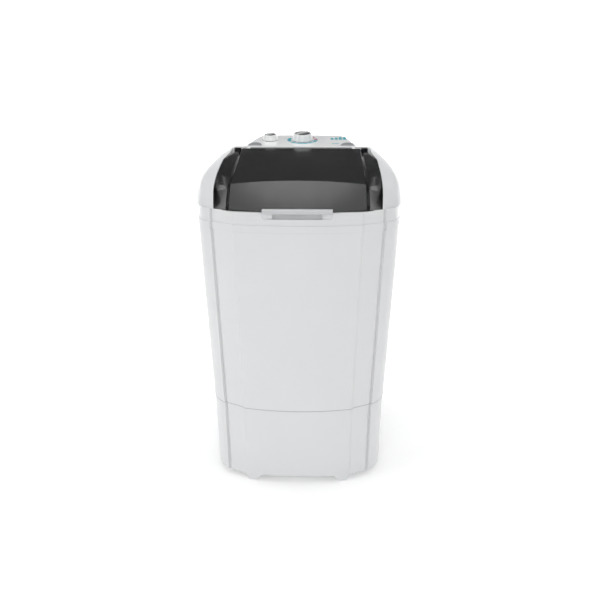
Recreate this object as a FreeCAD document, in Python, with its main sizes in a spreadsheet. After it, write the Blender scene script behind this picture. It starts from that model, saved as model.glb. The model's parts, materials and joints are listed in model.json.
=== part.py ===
"""Top load wash machine: parametric source of every sub-part.

Run in FreeCAD 1.1 without its window. Lengths are millimetres, angles degrees.
Origin: floor level at the centre of the plan. +Z up, the front faces -Y, +X is to the right.
Every size is a cell of the sheet "dims"; each sub-part is written to parts/LABEL.step.
"""
import FreeCAD, Part
import math
import os
import re

import Sketcher

Vec = FreeCAD.Vector

SIZES = [
    # --- outer plan, measured at the height where the cabinet meets the top frame
    ("body_half_width", 298.0, "half of the cabinet width"),
    ("body_front", 297.5, "front bulge, forward of the origin"),
    ("body_rear", 284.0, "flat back wall, behind the origin"),
    ("ridge_across", 0.594, "front panel edge, share of the half width"),
    ("ridge_along", 0.931, "front panel edge, share of the front reach"),
    ("step_across", 0.618, "foot of the step beside the panel, share of the half width"),
    ("step_along", 0.901, "foot of the step beside the panel, share of the front reach"),
    ("groove_across", 0.795, "start of the corner groove, share of the half width"),
    ("groove_along", 0.811, "start of the corner groove, share of the front reach"),
    ("groove_depth", 5.0, "depth of the corner groove"),
    ("groove_width", 10.5, "width of the corner groove"),
    ("rear_corner", 60.0, "radius of the back corners in plan"),
    ("front_taper_share", 0.35, "how much of the side taper the front wall has"),
    # --- levels and shares of the taper
    ("base_top", 251.0, "joint between the base and the cabinet"),
    ("cabinet_top", 800.0, "joint between the cabinet and the top frame"),
    ("collar_height", 20.0, "band round the foot of the top frame"),
    ("collar_proud", 2.0, "how far the band stands out"),
    ("taper_base_floor", 0.893, "plan scale at the floor"),
    ("taper_base_top", 0.908, "plan scale at the top of the base"),
    ("taper_cabinet_foot", 0.914, "plan scale at the foot of the cabinet"),
    ("shell_wall", 3.2, "wall of the moulded shells"),
    ("shell_gap", 0.4, "clearance between shells that nest"),
    # --- base
    ("deck_level", 27.0, "underside of the base deck"),
    ("deck_thickness", 4.0, "base deck"),
    ("foot_half_flat", 7.5, "half of the flat tip of a foot"),
    ("foot_across", 142.5, "distance of a foot from the middle"),
    ("foot_lean", 23.0, "how far the inner flank of a foot leans"),
    ("arch_height", 22.0, "height of the arch between the feet"),
    ("hem_height", 15.0, "height of the hem outside the feet"),
    ("foot_clear", 1.5, "shell above the floor at the feet"),
    ("foot_depth", 34.0, "foot block, front to back"),
    ("pad_radius", 12.0, "rubber foot radius"),
    ("pad_height", 9.0, "rubber foot height"),
    ("pad_along", 218.0, "front feet, forward of the origin"),
    ("pad_along_rear", 262.0, "back feet, behind the origin"),
    # --- tub
    ("tub_along", -58.0, "middle of the tub along Y"),
    ("tub_floor", 330.0, "outside of the tub floor"),
    ("tub_rim", "=cabinet_top + 38", "top of the tub flange"),
    ("tub_half_width", 214.0, "inside half width at the mouth"),
    ("tub_half_depth", 184.0, "inside half depth at the mouth"),
    ("tub_foot_half_width", 174.0, "inside half width at the floor"),
    ("tub_foot_half_depth", 150.0, "inside half depth at the floor"),
    ("tub_corner", 80.0, "corner radius of the tub"),
    ("tub_wall", 3.0, "tub wall"),
    ("tub_flange", 9.0, "flange width"),
    # --- drive
    ("shaft_radius", 10.0, "drive shaft"),
    ("running_clearance", 0.05, "radial clearance of turning shafts"),
    ("disc_radius", 138.0, "impeller radius"),
    ("disc_lift", 4.0, "gap under the impeller"),
    ("disc_rise", 26.0, "height of the impeller boss"),
    ("vane_height", 21.0, "height of the impeller vanes"),
    ("vane_count", 6.0, "impeller vanes"),
    ("housing_radius", 24.0, "bearing housing"),
    ("housing_length", 62.0, "bearing housing below its flange"),
    ("housing_flange_radius", 58.0, "bearing housing flange"),
    ("housing_flange", 6.0, "bearing housing flange thickness"),
    ("bush_wall", 4.0, "wall of the plain bushes"),
    ("bush_length", 16.0, "length of the plain bushes"),
    ("pulley_radius", 105.0, "driven pulley rim"),
    ("pulley_level", 232.0, "middle of the belt run"),
    ("pulley_width", 18.0, "width of both pulleys"),
    ("belt_width", 10.0, "belt width at its back"),
    ("belt_thickness", 7.0, "belt depth"),
    ("belt_play", 0.3, "gap between belt and pulley flanks"),
    ("motor_along", 150.0, "motor axis along Y"),
    ("motor_pulley_radius", 26.0, "motor pulley rim"),
    ("motor_radius", 66.0, "motor outside radius"),
    ("motor_foot", 70.0, "underside of the motor"),
    ("motor_height", 132.0, "motor height over both end caps"),
    ("cap_height", 26.0, "motor end cap"),
    ("motor_shaft_radius", 7.0, "motor shaft"),
    ("rotor_radius", 35.5, "rotor"),
    ("rotor_gap", 0.5, "gap between rotor and stator"),
    ("bracket_thickness", 4.0, "motor bracket plate"),
    ("mount_across", 60.0, "motor bolts along X"),
    ("mount_along", 45.0, "motor bolts along Y, from the motor axis"),
    ("grommet_height", 9.0, "rubber grommets under the bracket"),
    ("grommet_radius", 9.0, "rubber grommets"),
    ("nut_radius", 16.0, "pulley nut"),
    ("nut_height", 9.0, "pulley nut"),
    ("capacitor_across", -150.0, "run capacitor along X"),
    ("capacitor_along", 60.0, "run capacitor along Y"),
    ("capacitor_radius", 21.0, "run capacitor"),
    ("capacitor_height", 72.0, "run capacitor"),
    # --- drain, cable and back
    ("drain_across", 110.0, "drain line along X"),
    ("drain_level", 120.0, "drain spigot height"),
    ("drain_behind", 90.0, "drain fitting behind the tub middle"),
    ("spigot_radius", 16.0, "drain spigot outside radius"),
    ("spigot_bore", 12.5, "drain spigot bore"),
    ("spigot_reach", 16.0, "spigot outside the back wall"),
    ("gland_across", -110.0, "cable gland along X"),
    ("gland_level", 150.0, "cable gland height"),
    ("gland_bore", 4.5, "cable gland bore"),
    ("cable_radius", 3.5, "inner cable"),
    ("cover_half_width", 130.0, "back cover"),
    ("cover_foot", 300.0, "back cover lower edge"),
    ("cover_top", 600.0, "back cover upper edge"),
    ("cover_thickness", 2.5, "back cover"),
    ("cover_screw_inset", 7.0, "cover screws from the cover's edges"),
    ("hook_below", 100.0, "foot of the hose hook below the cabinet top"),
    ("hook_height", 60.0, "hose hook"),
    ("hook_half_width", 8.0, "hose hook"),
    ("hook_reach", 15.9, "hose hook behind the back wall"),
    # --- lint filter
    ("filter_half_width", 48.0, "filter frame"),
    ("filter_depth", 14.0, "filter frame, front to back"),
    ("filter_below", 38.0, "top of the filter below the tub rim"),
    ("filter_height", 150.0, "filter frame"),
    ("filter_offset", 20.0, "filter behind the tub's front wall at the rim"),
    # --- top frame
    ("lip_level", "=cabinet_top + 55", "top of the front lip"),
    ("lip_depth", 14.0, "front lip, front to back"),
    ("opening_half_width", 223.0, "opening below the lid"),
    ("opening_rear", 124.0, "back edge of the opening"),
    ("lid_half_width", 235.0, "lid outside half width"),
    ("lid_clearance", 1.0, "gap round the lid"),
    ("deck_top", "=cabinet_top + 186", "flat top of the frame behind the lid"),
    ("ledge_level", "=cabinet_top + 126", "corner ledges at the back of the opening"),
    ("ledge_across", 124.0, "inner end of the corner ledges"),
    ("scoop_half_width", 97.0, "finger recess"),
    ("scoop_depth", 7.0, "finger recess"),
    ("scoop_foot", "=cabinet_top + 38", "lower edge of the finger recess"),
    # --- lid
    ("lid_thickness", 3.0, "lid wall"),
    ("raised_half_width", 190.0, "raised middle of the lid"),
    ("lid_front", 284.0, "front edge of the lid at the middle"),
    ("lid_front_side", 268.0, "front edge of the lid beside the step"),
    ("crease_along", -200.0, "crease of the lid along Y"),
    ("crease_level", "=cabinet_top + 129", "crease of the lid at the middle"),
    ("crease_drop", 9.0, "how much lower the crease is at its ends"),
    ("hinge_along", 136.5, "lid hinge axis along Y"),
    ("hinge_level", "=cabinet_top + 178", "lid hinge axis height"),
    ("knuckle_radius", 4.5, "rolled back edge of the lid"),
    ("hinge_pin_radius", 2.2, "hinge pins"),
    ("hinge_half_width", 164.0, "ends of the rolled edge"),
    ("ear_radius", 6.0, "hinge ears"),
    ("ear_width", 9.0, "hinge ears"),
    ("handle_half_width", 96.0, "lid handle"),
    ("handle_front", 300.0, "front of the lid handle"),
    ("handle_depth", 20.0, "lid handle, front to back"),
    ("handle_level", "=lip_level + 2.5", "underside of the lid handle"),
    ("handle_height", 7.0, "lid handle"),
    # --- console
    ("panel_front", 142.5, "front edge of the panel"),
    ("panel_level", "=cabinet_top + 179.5", "underside of the panel at its front edge"),
    ("panel_tilt", 9.0, "panel tilt"),
    ("panel_depth", 147.0, "panel along its slope"),
    ("panel_front_half", 178.0, "panel half width in front"),
    ("panel_rear_half", 133.0, "panel half width at the back"),
    ("panel_height", 7.5, "panel edge height"),
    ("panel_skin", 3.0, "panel wall"),
    ("well_floor", "=cabinet_top + 118", "floor of the console well in the frame"),
    ("dial_along", 81.0, "knob axes behind the panel's front edge"),
    ("dial_across", 3.0, "timer knob along X"),
    ("dial_radius", 35.0, "timer knob foot radius"),
    ("dial_top_radius", 30.0, "timer knob rim radius"),
    ("dial_height", 22.0, "timer knob height"),
    ("dial_cap_radius", 24.5, "dark cap of the timer knob"),
    ("picker_across", -105.0, "selector knob along X"),
    ("picker_radius", 25.5, "selector knob foot radius"),
    ("picker_top_radius", 20.5, "selector knob rim radius"),
    ("picker_height", 18.0, "selector knob height"),
    ("picker_cap_radius", 16.5, "dark cap of the selector knob"),
    ("cap_sink", 2.0, "depth of the seat of a dark cap"),
    ("spindle_radius", 3.0, "knob spindles"),
    ("hinge_cap_half", 22.0, "grey corner cap half width"),
]

document = FreeCAD.newDocument("wash_machine")
sheet = document.addObject("Spreadsheet::Sheet", "dims")
for row, (alias, value, note) in enumerate(SIZES, start=1):
    sheet.set("A%d" % row, note)
    sheet.set("B%d" % row, value if isinstance(value, str) else repr(value))
    sheet.setAlias("B%d" % row, alias)
document.recompute()

ALIASES = {alias for alias, _, _ in SIZES}
sub_parts = []


def bind(text):
    """Turn a formula of size names into an expression on the sheet."""
    return re.sub(r"[a-z_]+[a-z_0-9]*", lambda m: "dims." + m[0] if m[0] in ALIASES else m[0], text)


def v(text):
    """Value of a formula of size names, in millimetres or degrees."""
    return float(sheet.evalExpression(bind(text)))


def place(obj, along_x="0", along_y="0", along_z="0", rotation=None):
    """Put an object at a position given as three formulas."""
    if rotation is not None:
        obj.Placement = FreeCAD.Placement(Vec(0, 0, 0), rotation)
    for letter, formula in zip("xyz", (along_x, along_y, along_z)):
        obj.setExpression("Placement.Base." + letter, bind(formula))


def polygon_sketch(body, role, outline):
    """Closed outline of straight lines whose corners follow formulas."""
    sketch = body.newObject("Sketcher::SketchObject", "outline")
    plane = [f for f in body.Origin.OriginFeatures if f.Role == role][0]
    sketch.AttachmentSupport = [(plane, "")]
    sketch.MapMode = "FlatFace"
    corners = [Vec(v(a), v(b), 0) for a, b in outline]
    for i, corner in enumerate(corners):
        sketch.addGeometry(Part.LineSegment(corner, corners[(i + 1) % len(corners)]))
    for i in range(len(corners)):
        sketch.addConstraint(Sketcher.Constraint("Coincident", i - 1 if i else len(corners) - 1, 2, i, 1))
    for i, (across, up) in enumerate(outline):
        for kind, value, formula in (("DistanceX", corners[i].x, across), ("DistanceY", corners[i].y, up)):
            index = sketch.addConstraint(Sketcher.Constraint(kind, -1, 1, i, 1, value))
            sketch.setExpression("Constraints[%d]" % index, bind(formula))
    return sketch


def circle_sketch(body, role, circles):
    """Circles (x, y, radius) that follow formulas."""
    sketch = body.newObject("Sketcher::SketchObject", "circles")
    plane = [f for f in body.Origin.OriginFeatures if f.Role == role][0]
    sketch.AttachmentSupport = [(plane, "")]
    sketch.MapMode = "FlatFace"
    for i, (across, up, radius) in enumerate(circles):
        sketch.addGeometry(Part.Circle(Vec(v(across), v(up), 0), Vec(0, 0, 1), v(radius)))
        for kind, value, formula in (("DistanceX", v(across), across), ("DistanceY", v(up), up)):
            index = sketch.addConstraint(Sketcher.Constraint(kind, -1, 1, i, 3, value))
            sketch.setExpression("Constraints[%d]" % index, bind(formula))
        index = sketch.addConstraint(Sketcher.Constraint("Radius", i, v(radius)))
        sketch.setExpression("Constraints[%d]" % index, bind(radius))
    return sketch


def new_body(label):
    """Empty PartDesign body for one sub-part."""
    body = document.addObject("PartDesign::Body", label)
    body.Label = label
    sub_parts.append(body)
    return body


def turned(label, outline):
    """Body made by turning an outline of (radius, height) pairs about its Z axis."""
    body = new_body(label)
    sketch = polygon_sketch(body, "XZ_Plane", outline)
    turn = body.newObject("PartDesign::Revolution", "turn")
    turn.Profile = sketch
    turn.ReferenceAxis = (sketch, ["V_Axis"])
    turn.Angle = 360
    body.Tip = turn
    return body


def plate(label, outline, thickness, role="XY_Plane"):
    """Body made by padding an outline by a thickness."""
    body = new_body(label)
    pad = body.newObject("PartDesign::Pad", "pad")
    pad.Profile = polygon_sketch(body, role, outline)
    pad.setExpression("Length", bind(thickness))
    body.Tip = pad
    return body


def rectangle(half_x, half_y):
    """Corner formulas of a centred rectangle."""
    return [("-(%s)" % half_x, "-(%s)" % half_y), (half_x, "-(%s)" % half_y), (half_x, half_y),
            ("-(%s)" % half_x, half_y)]


def drill(body, circles, role="XY_Plane"):
    """Cut round holes right through a body."""
    cut = body.newObject("PartDesign::Pocket", "holes")
    cut.Profile = circle_sketch(body, role, circles)
    cut.Type = 1
    cut.Midplane = True
    body.Tip = cut
    return body


def ring_of(count, radius, hole):
    """Circle formulas for holes spaced evenly on a pitch radius."""
    circles = []
    for i in range(count):
        turn = 2 * math.pi * (i + 0.5) / count
        across = "(%s) * %.6f" % (radius, math.cos(turn))
        along = "(%s) * %.6f" % (radius, math.sin(turn))
        circles.append((across, along, hole))
    return circles


def shaped(label, shape):
    """Sub-part whose shape comes from Part functions that read the sheet."""
    feature = document.addObject("Part::Feature", label)
    feature.Label = label
    feature.Shape = shape
    sub_parts.append(feature)
    return feature


def box(x0, x1, y0, y1, z0, z1):
    """Box between two corners."""
    return Part.makeBox(x1 - x0, y1 - y0, z1 - z0, Vec(x0, y0, z0))


def cylinder(radius, start, end):
    """Cylinder between two points."""
    axis = end - start
    return Part.makeCylinder(radius, axis.Length, start, axis)


def prism_x(points, half_width):
    """Prism along X, centred, from (y, z) corners."""
    wire = Part.makePolygon([Vec(-half_width, y, z) for y, z in points + points[:1]])
    return Part.Face(wire).extrude(Vec(2 * half_width, 0, 0))


def prism_y(points, y0, y1):
    """Prism along Y from (x, z) corners."""
    wire = Part.makePolygon([Vec(x, y0, z) for x, z in points + points[:1]])
    return Part.Face(wire).extrude(Vec(0, y1 - y0, 0))


def prism_z(points, z0, z1):
    """Prism along Z from (x, y) corners."""
    wire = Part.makePolygon([Vec(x, y, z0) for x, y in points + points[:1]])
    return Part.Face(wire).extrude(Vec(0, 0, z1 - z0))


# ---------------------------------------------------------------- outer shells
def smooth_curve(points):
    """Curve through points; it leaves along its first chord and arrives along Y."""
    curve = Part.BSplineCurve()
    length = (points[-1] - points[0]).Length
    start = (points[1] - points[0]).normalize() * length
    curve.interpolate(Points=points, InitialTangent=start, FinalTangent=Vec(0, length, 0))
    return curve.toShape()


def rear_corner(half, rear, radius, level):
    """Start, middle and end of a round back corner in plan."""
    diagonal = radius * math.sqrt(0.5)
    return (Vec(half, rear - radius, level), Vec(half - radius + diagonal, rear - radius + diagonal, level),
            Vec(half - radius, rear, level))


def plan_wire(level, scale, proud=0.0):
    """Outer plan of the machine: bulged front panel, step, groove and side bulge each side."""
    half = v("body_half_width") * scale + proud
    front = v("body_front") * (1 - v("front_taper_share") * (1 - scale)) + proud
    rear = v("body_rear")
    groove_x = half * v("groove_across")
    groove_y = front * v("groove_along")
    deep = v("groove_depth")
    wide = v("groove_width")

    def point(x, y):
        return Vec(x, y, level)

    ridge = point(half * v("ridge_across"), -front * v("ridge_along"))
    step = point(half * v("step_across"), -front * v("step_along"))
    groove = [point(groove_x, -groove_y), point(groove_x + wide * 0.4, -groove_y + deep + 1.5),
              point(groove_x + wide, -groove_y + 1.5)]
    bulge = [groove[2], point(half * 0.905, -front * 0.73), point(half * 0.955, -front * 0.63),
             point(half * 0.987, -front * 0.50), point(half * 0.999, -front * 0.34),
             point(half, -front * 0.10)]
    side, corner_middle, back = rear_corner(half, rear, v("rear_corner"), level)

    def right_chain(mirror):
        def m(p):
            return Vec(-p.x, p.y, p.z) if mirror else p
        return [Part.makeLine(m(ridge), m(step)), Part.makeLine(m(step), m(groove[0])),
                Part.makeLine(m(groove[0]), m(groove[1])), Part.makeLine(m(groove[1]), m(groove[2])),
                smooth_curve([m(p) for p in bulge]), Part.makeLine(m(bulge[-1]), m(side)),
                Part.Arc(m(side), m(corner_middle), m(back)).toShape()]

    left_ridge = Vec(-ridge.x, ridge.y, ridge.z)
    left_back = Vec(-back.x, back.y, back.z)
    edges = [Part.Arc(left_ridge, point(0, -front), ridge).toShape()] + right_chain(False)
    edges += [Part.makeLine(back, left_back)] + right_chain(True)
    return Part.Wire(Part.__sortEdges__(edges))


def inner_wire(level, scale, inset):
    """Plan of the hollow inside a shell; it stays clear of the groove by the wall."""
    half = v("body_half_width") * scale - inset
    front = v("body_front") * (1 - v("front_taper_share") * (1 - scale)) - inset
    rear = v("body_rear") - inset
    groove_room = v("groove_depth") + 2.0

    def point(x, y):
        return Vec(x, y, level)

    ridge = point(half * v("ridge_across") - 2.0, -front * v("ridge_along") + 2.0)
    facet = point(half * v("groove_across"), -front * v("groove_along") + groove_room)
    bulge = [facet, point(half * 0.900, -front * 0.695), point(half * 0.955, -front * 0.60),
             point(half * 0.990, -front * 0.44), point(half, -front * 0.10)]
    side, middle, back = rear_corner(half, rear, v("rear_corner") - inset, level)

    def chain(mirror):
        def m(p):
            return Vec(-p.x, p.y, p.z) if mirror else p
        return [Part.makeLine(m(ridge), m(facet)), smooth_curve([m(p) for p in bulge]),
                Part.makeLine(m(bulge[-1]), m(side)), Part.Arc(m(side), m(middle), m(back)).toShape()]

    left_ridge = Vec(-ridge.x, ridge.y, ridge.z)
    left_back = Vec(-back.x, back.y, back.z)
    edges = [Part.Arc(left_ridge, point(0, -front), ridge).toShape()] + chain(False)
    edges += [Part.makeLine(back, left_back)] + chain(True)
    return Part.Wire(Part.__sortEdges__(edges))


def shell_solid(wire_maker, levels):
    """Ruled solid through (level, scale, offset) stations."""
    return Part.makeLoft([wire_maker(*station) for station in levels], True, True)


def mount_points():
    """Places (x, y) of the motor bolts."""
    middle = v("motor_along")
    reach = v("mount_along")
    return [(side * v("mount_across"), middle + y) for side in (-1, 1) for y in (-reach, reach)]


def build_base_skirt():
    """Base: tapered skirt, arches, four foot blocks and a deck that carries the motor."""
    top = v("base_top")
    wall = v("shell_wall")
    foot_scale = v("taper_base_floor")
    top_scale = v("taper_base_top")
    outer = shell_solid(plan_wire, [(0.0, foot_scale), (top - v("shell_gap"), top_scale)])
    inner = shell_solid(inner_wire, [(-1.0, foot_scale, wall), (top + 1.0, top_scale, wall)])
    shell = outer.cut(inner)
    deck_low = v("deck_level")
    deck = outer.common(box(-400, 400, -400, 400, deck_low, deck_low + v("deck_thickness")))
    deck = deck.cut(Part.makeCylinder(75.0, 20.0, Vec(0, v("tub_along"), deck_low - 5)))
    tip = v("foot_half_flat")
    across = v("foot_across")
    lean = v("foot_lean")
    clear = v("foot_clear")
    blocks = []
    for side in (-1, 1):
        for y0 in (-v("body_front"), v("pad_along_rear") - v("foot_depth") * 0.5):
            y1 = -v("pad_along") + v("foot_depth") * 0.5 if y0 < 0 else v("body_rear")
            profile = [(side * (across - tip - lean), deck_low), (side * (across - tip - 6), clear),
                       (side * (across + tip + 6), clear), (side * (across + tip + 20), deck_low)]
            blocks.append(prism_y(profile, y0, y1).common(outer))
    shell = shell.fuse([deck] + blocks)
    arch = v("arch_height")
    hem = v("hem_height")
    inner_tip = across - tip
    outer_tip = across + tip
    shell = shell.cut(box(-400, 400, -400, 400, -2, clear))
    shell = shell.cut(prism_y([(-inner_tip, -1), (-inner_tip + lean, arch), (0, arch + 5),
                               (inner_tip - lean, arch), (inner_tip, -1)], -400, 400))
    for side in (-1, 1):
        shell = shell.cut(prism_y([(side * outer_tip, -1), (side * (outer_tip + 13), hem), (side * 400, hem),
                                   (side * 400, -1)], -400, 400))
    for x in (-across, across):
        for y in (-v("pad_along"), v("pad_along_rear")):
            shell = shell.cut(Part.makeCylinder(v("pad_radius"), v("pad_height") + 1, Vec(x, y, -1)))
    boss_height = v("motor_foot - bracket_thickness - grommet_height - deck_level") - 1.0
    for x, y in mount_points():
        shell = shell.fuse(Part.makeCylinder(v("grommet_radius"), boss_height, Vec(x, y, deck_low + 1)))
    back = v("body_rear")
    through = ((v("spigot_radius"), v("drain_across"), v("drain_level")),
               (10.0, v("gland_across"), v("gland_level")))
    for radius, x, z in through:
        shell = shell.cut(cylinder(radius + v("shell_gap"), Vec(x, back - 9, z), Vec(x, back + 9, z)))
    return shell


def build_cabinet_shell():
    """Cabinet: tapered tube with a service window in the back wall and a flange at its foot."""
    low = v("base_top")
    high = v("cabinet_top")
    wall = v("shell_wall")
    foot_scale = v("taper_cabinet_foot")
    outer = shell_solid(plan_wire, [(low, foot_scale), (high, 1.0)])
    flange = 3.0
    ring_width = 10.0
    inner = shell_solid(inner_wire, [(low + flange, foot_scale, wall), (high + 1.0, 1.0, wall)])
    mouth = shell_solid(inner_wire, [(low - 1.0, foot_scale, wall + ring_width),
                                     (low + flange + 1.0, foot_scale, wall + ring_width)])
    shell = outer.cut(inner).cut(mouth)
    margin = 15.0
    window = box(-v("cover_half_width") + margin, v("cover_half_width") - margin, v("body_rear") - 20,
                 v("body_rear") + 5, v("cover_foot") + margin, v("cover_top") - margin)
    shell = shell.cut(window)
    for x, z in cover_screw_points():
        shell = shell.cut(cylinder(1.8, Vec(x, v("body_rear") - 15, z), Vec(x, v("body_rear") + 5, z)))
    return shell


def cover_screw_points():
    """Places (x, z) of the back cover screws."""
    reach = v("cover_half_width - cover_screw_inset")
    low = v("cover_foot + cover_screw_inset")
    high = v("cover_top - cover_screw_inset")
    return [(side * reach, level) for level in (low, (low + high) / 2, high) for side in (-1, 1)]


# Contours of the top frame: rise above the front lip, then the lid side edge and the outline as shares of the
# half width and of the front reach (negative towards the front).
FRAME_CONTOURS = [
    (2.0, 0.806, -0.805, 1.000, -0.480),
    (25.0, 0.797, -0.800, 1.000, -0.447),
    (47.0, 0.793, -0.782, 0.997, -0.333),
    (64.0, 0.793, -0.715, 0.986, -0.171),
    (81.0, 0.792, -0.555, 0.953, 0.034),
    (97.0, 0.790, -0.270, 0.902, 0.245),
    (115.0, 0.765, 0.110, 0.830, 0.460),
    (131.0, 0.712, 0.440, 0.742, 0.640),
]


def contour_wire(station, inset=0.0):
    """Closed contour of the frame's dome at one level."""
    height, lid_x, lid_y, out_x, out_y = station
    level = v("lip_level") + height
    lowest = FRAME_CONTOURS[0][0]
    half = v("body_half_width")
    front = v("body_front")
    rise = (height - lowest) / (FRAME_CONTOURS[-1][0] - lowest)
    start = Vec(half * lid_x - inset, front * lid_y + inset, level - inset)
    out = Vec(half * out_x - inset, front * out_y, level - inset)
    span = out - start
    outward = Vec(-span.y, span.x, 0) * -0.11
    middle = (start + out) * 0.5 + outward
    rear = v("body_rear") - 8.0 * rise - inset
    side = Vec(out.x - 3.0 * rise, max(out.y + 20.0, rear - v("rear_corner")), level - inset)
    reach = rear - side.y
    back = Vec(side.x - reach, rear, level - inset)
    bend = Vec(back.x + reach * math.sqrt(0.5), side.y + reach * math.sqrt(0.5), level - inset)

    def chain(mirror):
        def m(p):
            return Vec(-p.x, p.y, p.z) if mirror else p
        return [smooth_curve([m(start), m(middle), m(out)]), Part.makeLine(m(out), m(side)),
                Part.Arc(m(side), m(bend), m(back)).toShape()]

    left_start = Vec(-start.x, start.y, start.z)
    left_back = Vec(-back.x, back.y, back.z)
    edges = [Part.makeLine(left_start, start)] + chain(False) + [Part.makeLine(back, left_back)] + chain(True)
    return Part.Wire(Part.__sortEdges__(edges))


def blended_contours(steps=3):
    """Contours with evenly spaced ones blended in between, so the dome runs smoothly."""
    rows = FRAME_CONTOURS
    blended = []
    for i in range(len(rows) - 1):
        before = rows[max(i - 1, 0)]
        after = rows[min(i + 2, len(rows) - 1)]
        for step in range(steps):
            t = step / steps
            row = []
            for p0, p1, p2, p3 in zip(before, rows[i], rows[i + 1], after):
                row.append(0.5 * (2 * p1 + (p2 - p0) * t + (2 * p0 - 5 * p1 + 4 * p2 - p3) * t ** 2
                                  + (3 * p1 - p0 - 3 * p2 + p3) * t ** 3))
            blended.append(tuple(row))
    return blended + [rows[-1]]


def dome(inset=0.0):
    """Dome of the top frame above its front lip."""
    return Part.makeLoft([contour_wire(station, inset) for station in blended_contours()], True, True)


# Side edge of the lid seen from the side: y and rise above the front lip, from the front up and back to the
# hinge, first at its outer edge and then at the foot of the raised middle.
WING_OUTER = [(-239.0, 2.0), (-203.0, 45.0), (-188.0, 62.0), (-143.0, 84.0), (-67.0, 97.0), (8.0, 108.0),
              (85.0, 116.0), (118.0, 118.0)]
WING_INNER = [(-258.0, 2.0), (-206.0, 51.0), (-194.0, 56.0), (-143.0, 70.0), (-67.0, 85.0), (8.0, 98.0),
              (85.0, 110.0), (118.0, 115.0)]


def wing_line(profile):
    """Side edge of the lid with its heights above the floor."""
    return [(y, v("lip_level") + rise) for y, rise in profile]


def lid_footprint(margin, low, high):
    """Prism over the plan of the lid, grown by a margin."""
    half = v("lid_half_width") + margin
    side = v("raised_half_width")
    front = -v("lid_front") - margin
    corner = -v("lid_front_side") - margin
    rear = v("panel_front") - 0.5
    right = [(side * 0.5, front + 4.0), (side - 12, corner), (side + 5, corner + 6), (half, -240.0 - margin),
             (half, 0.0), (half - 16, 85.0), (half - 22, rear)]
    left = [(-x, y) for x, y in reversed(right)]
    return prism_z([(0.0, front)] + right + left, low, high)


def opening_side_beam():
    """Half length of the solid beam that carries the hinge ears."""
    return v("hinge_half_width + ear_width") + 22.0


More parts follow.
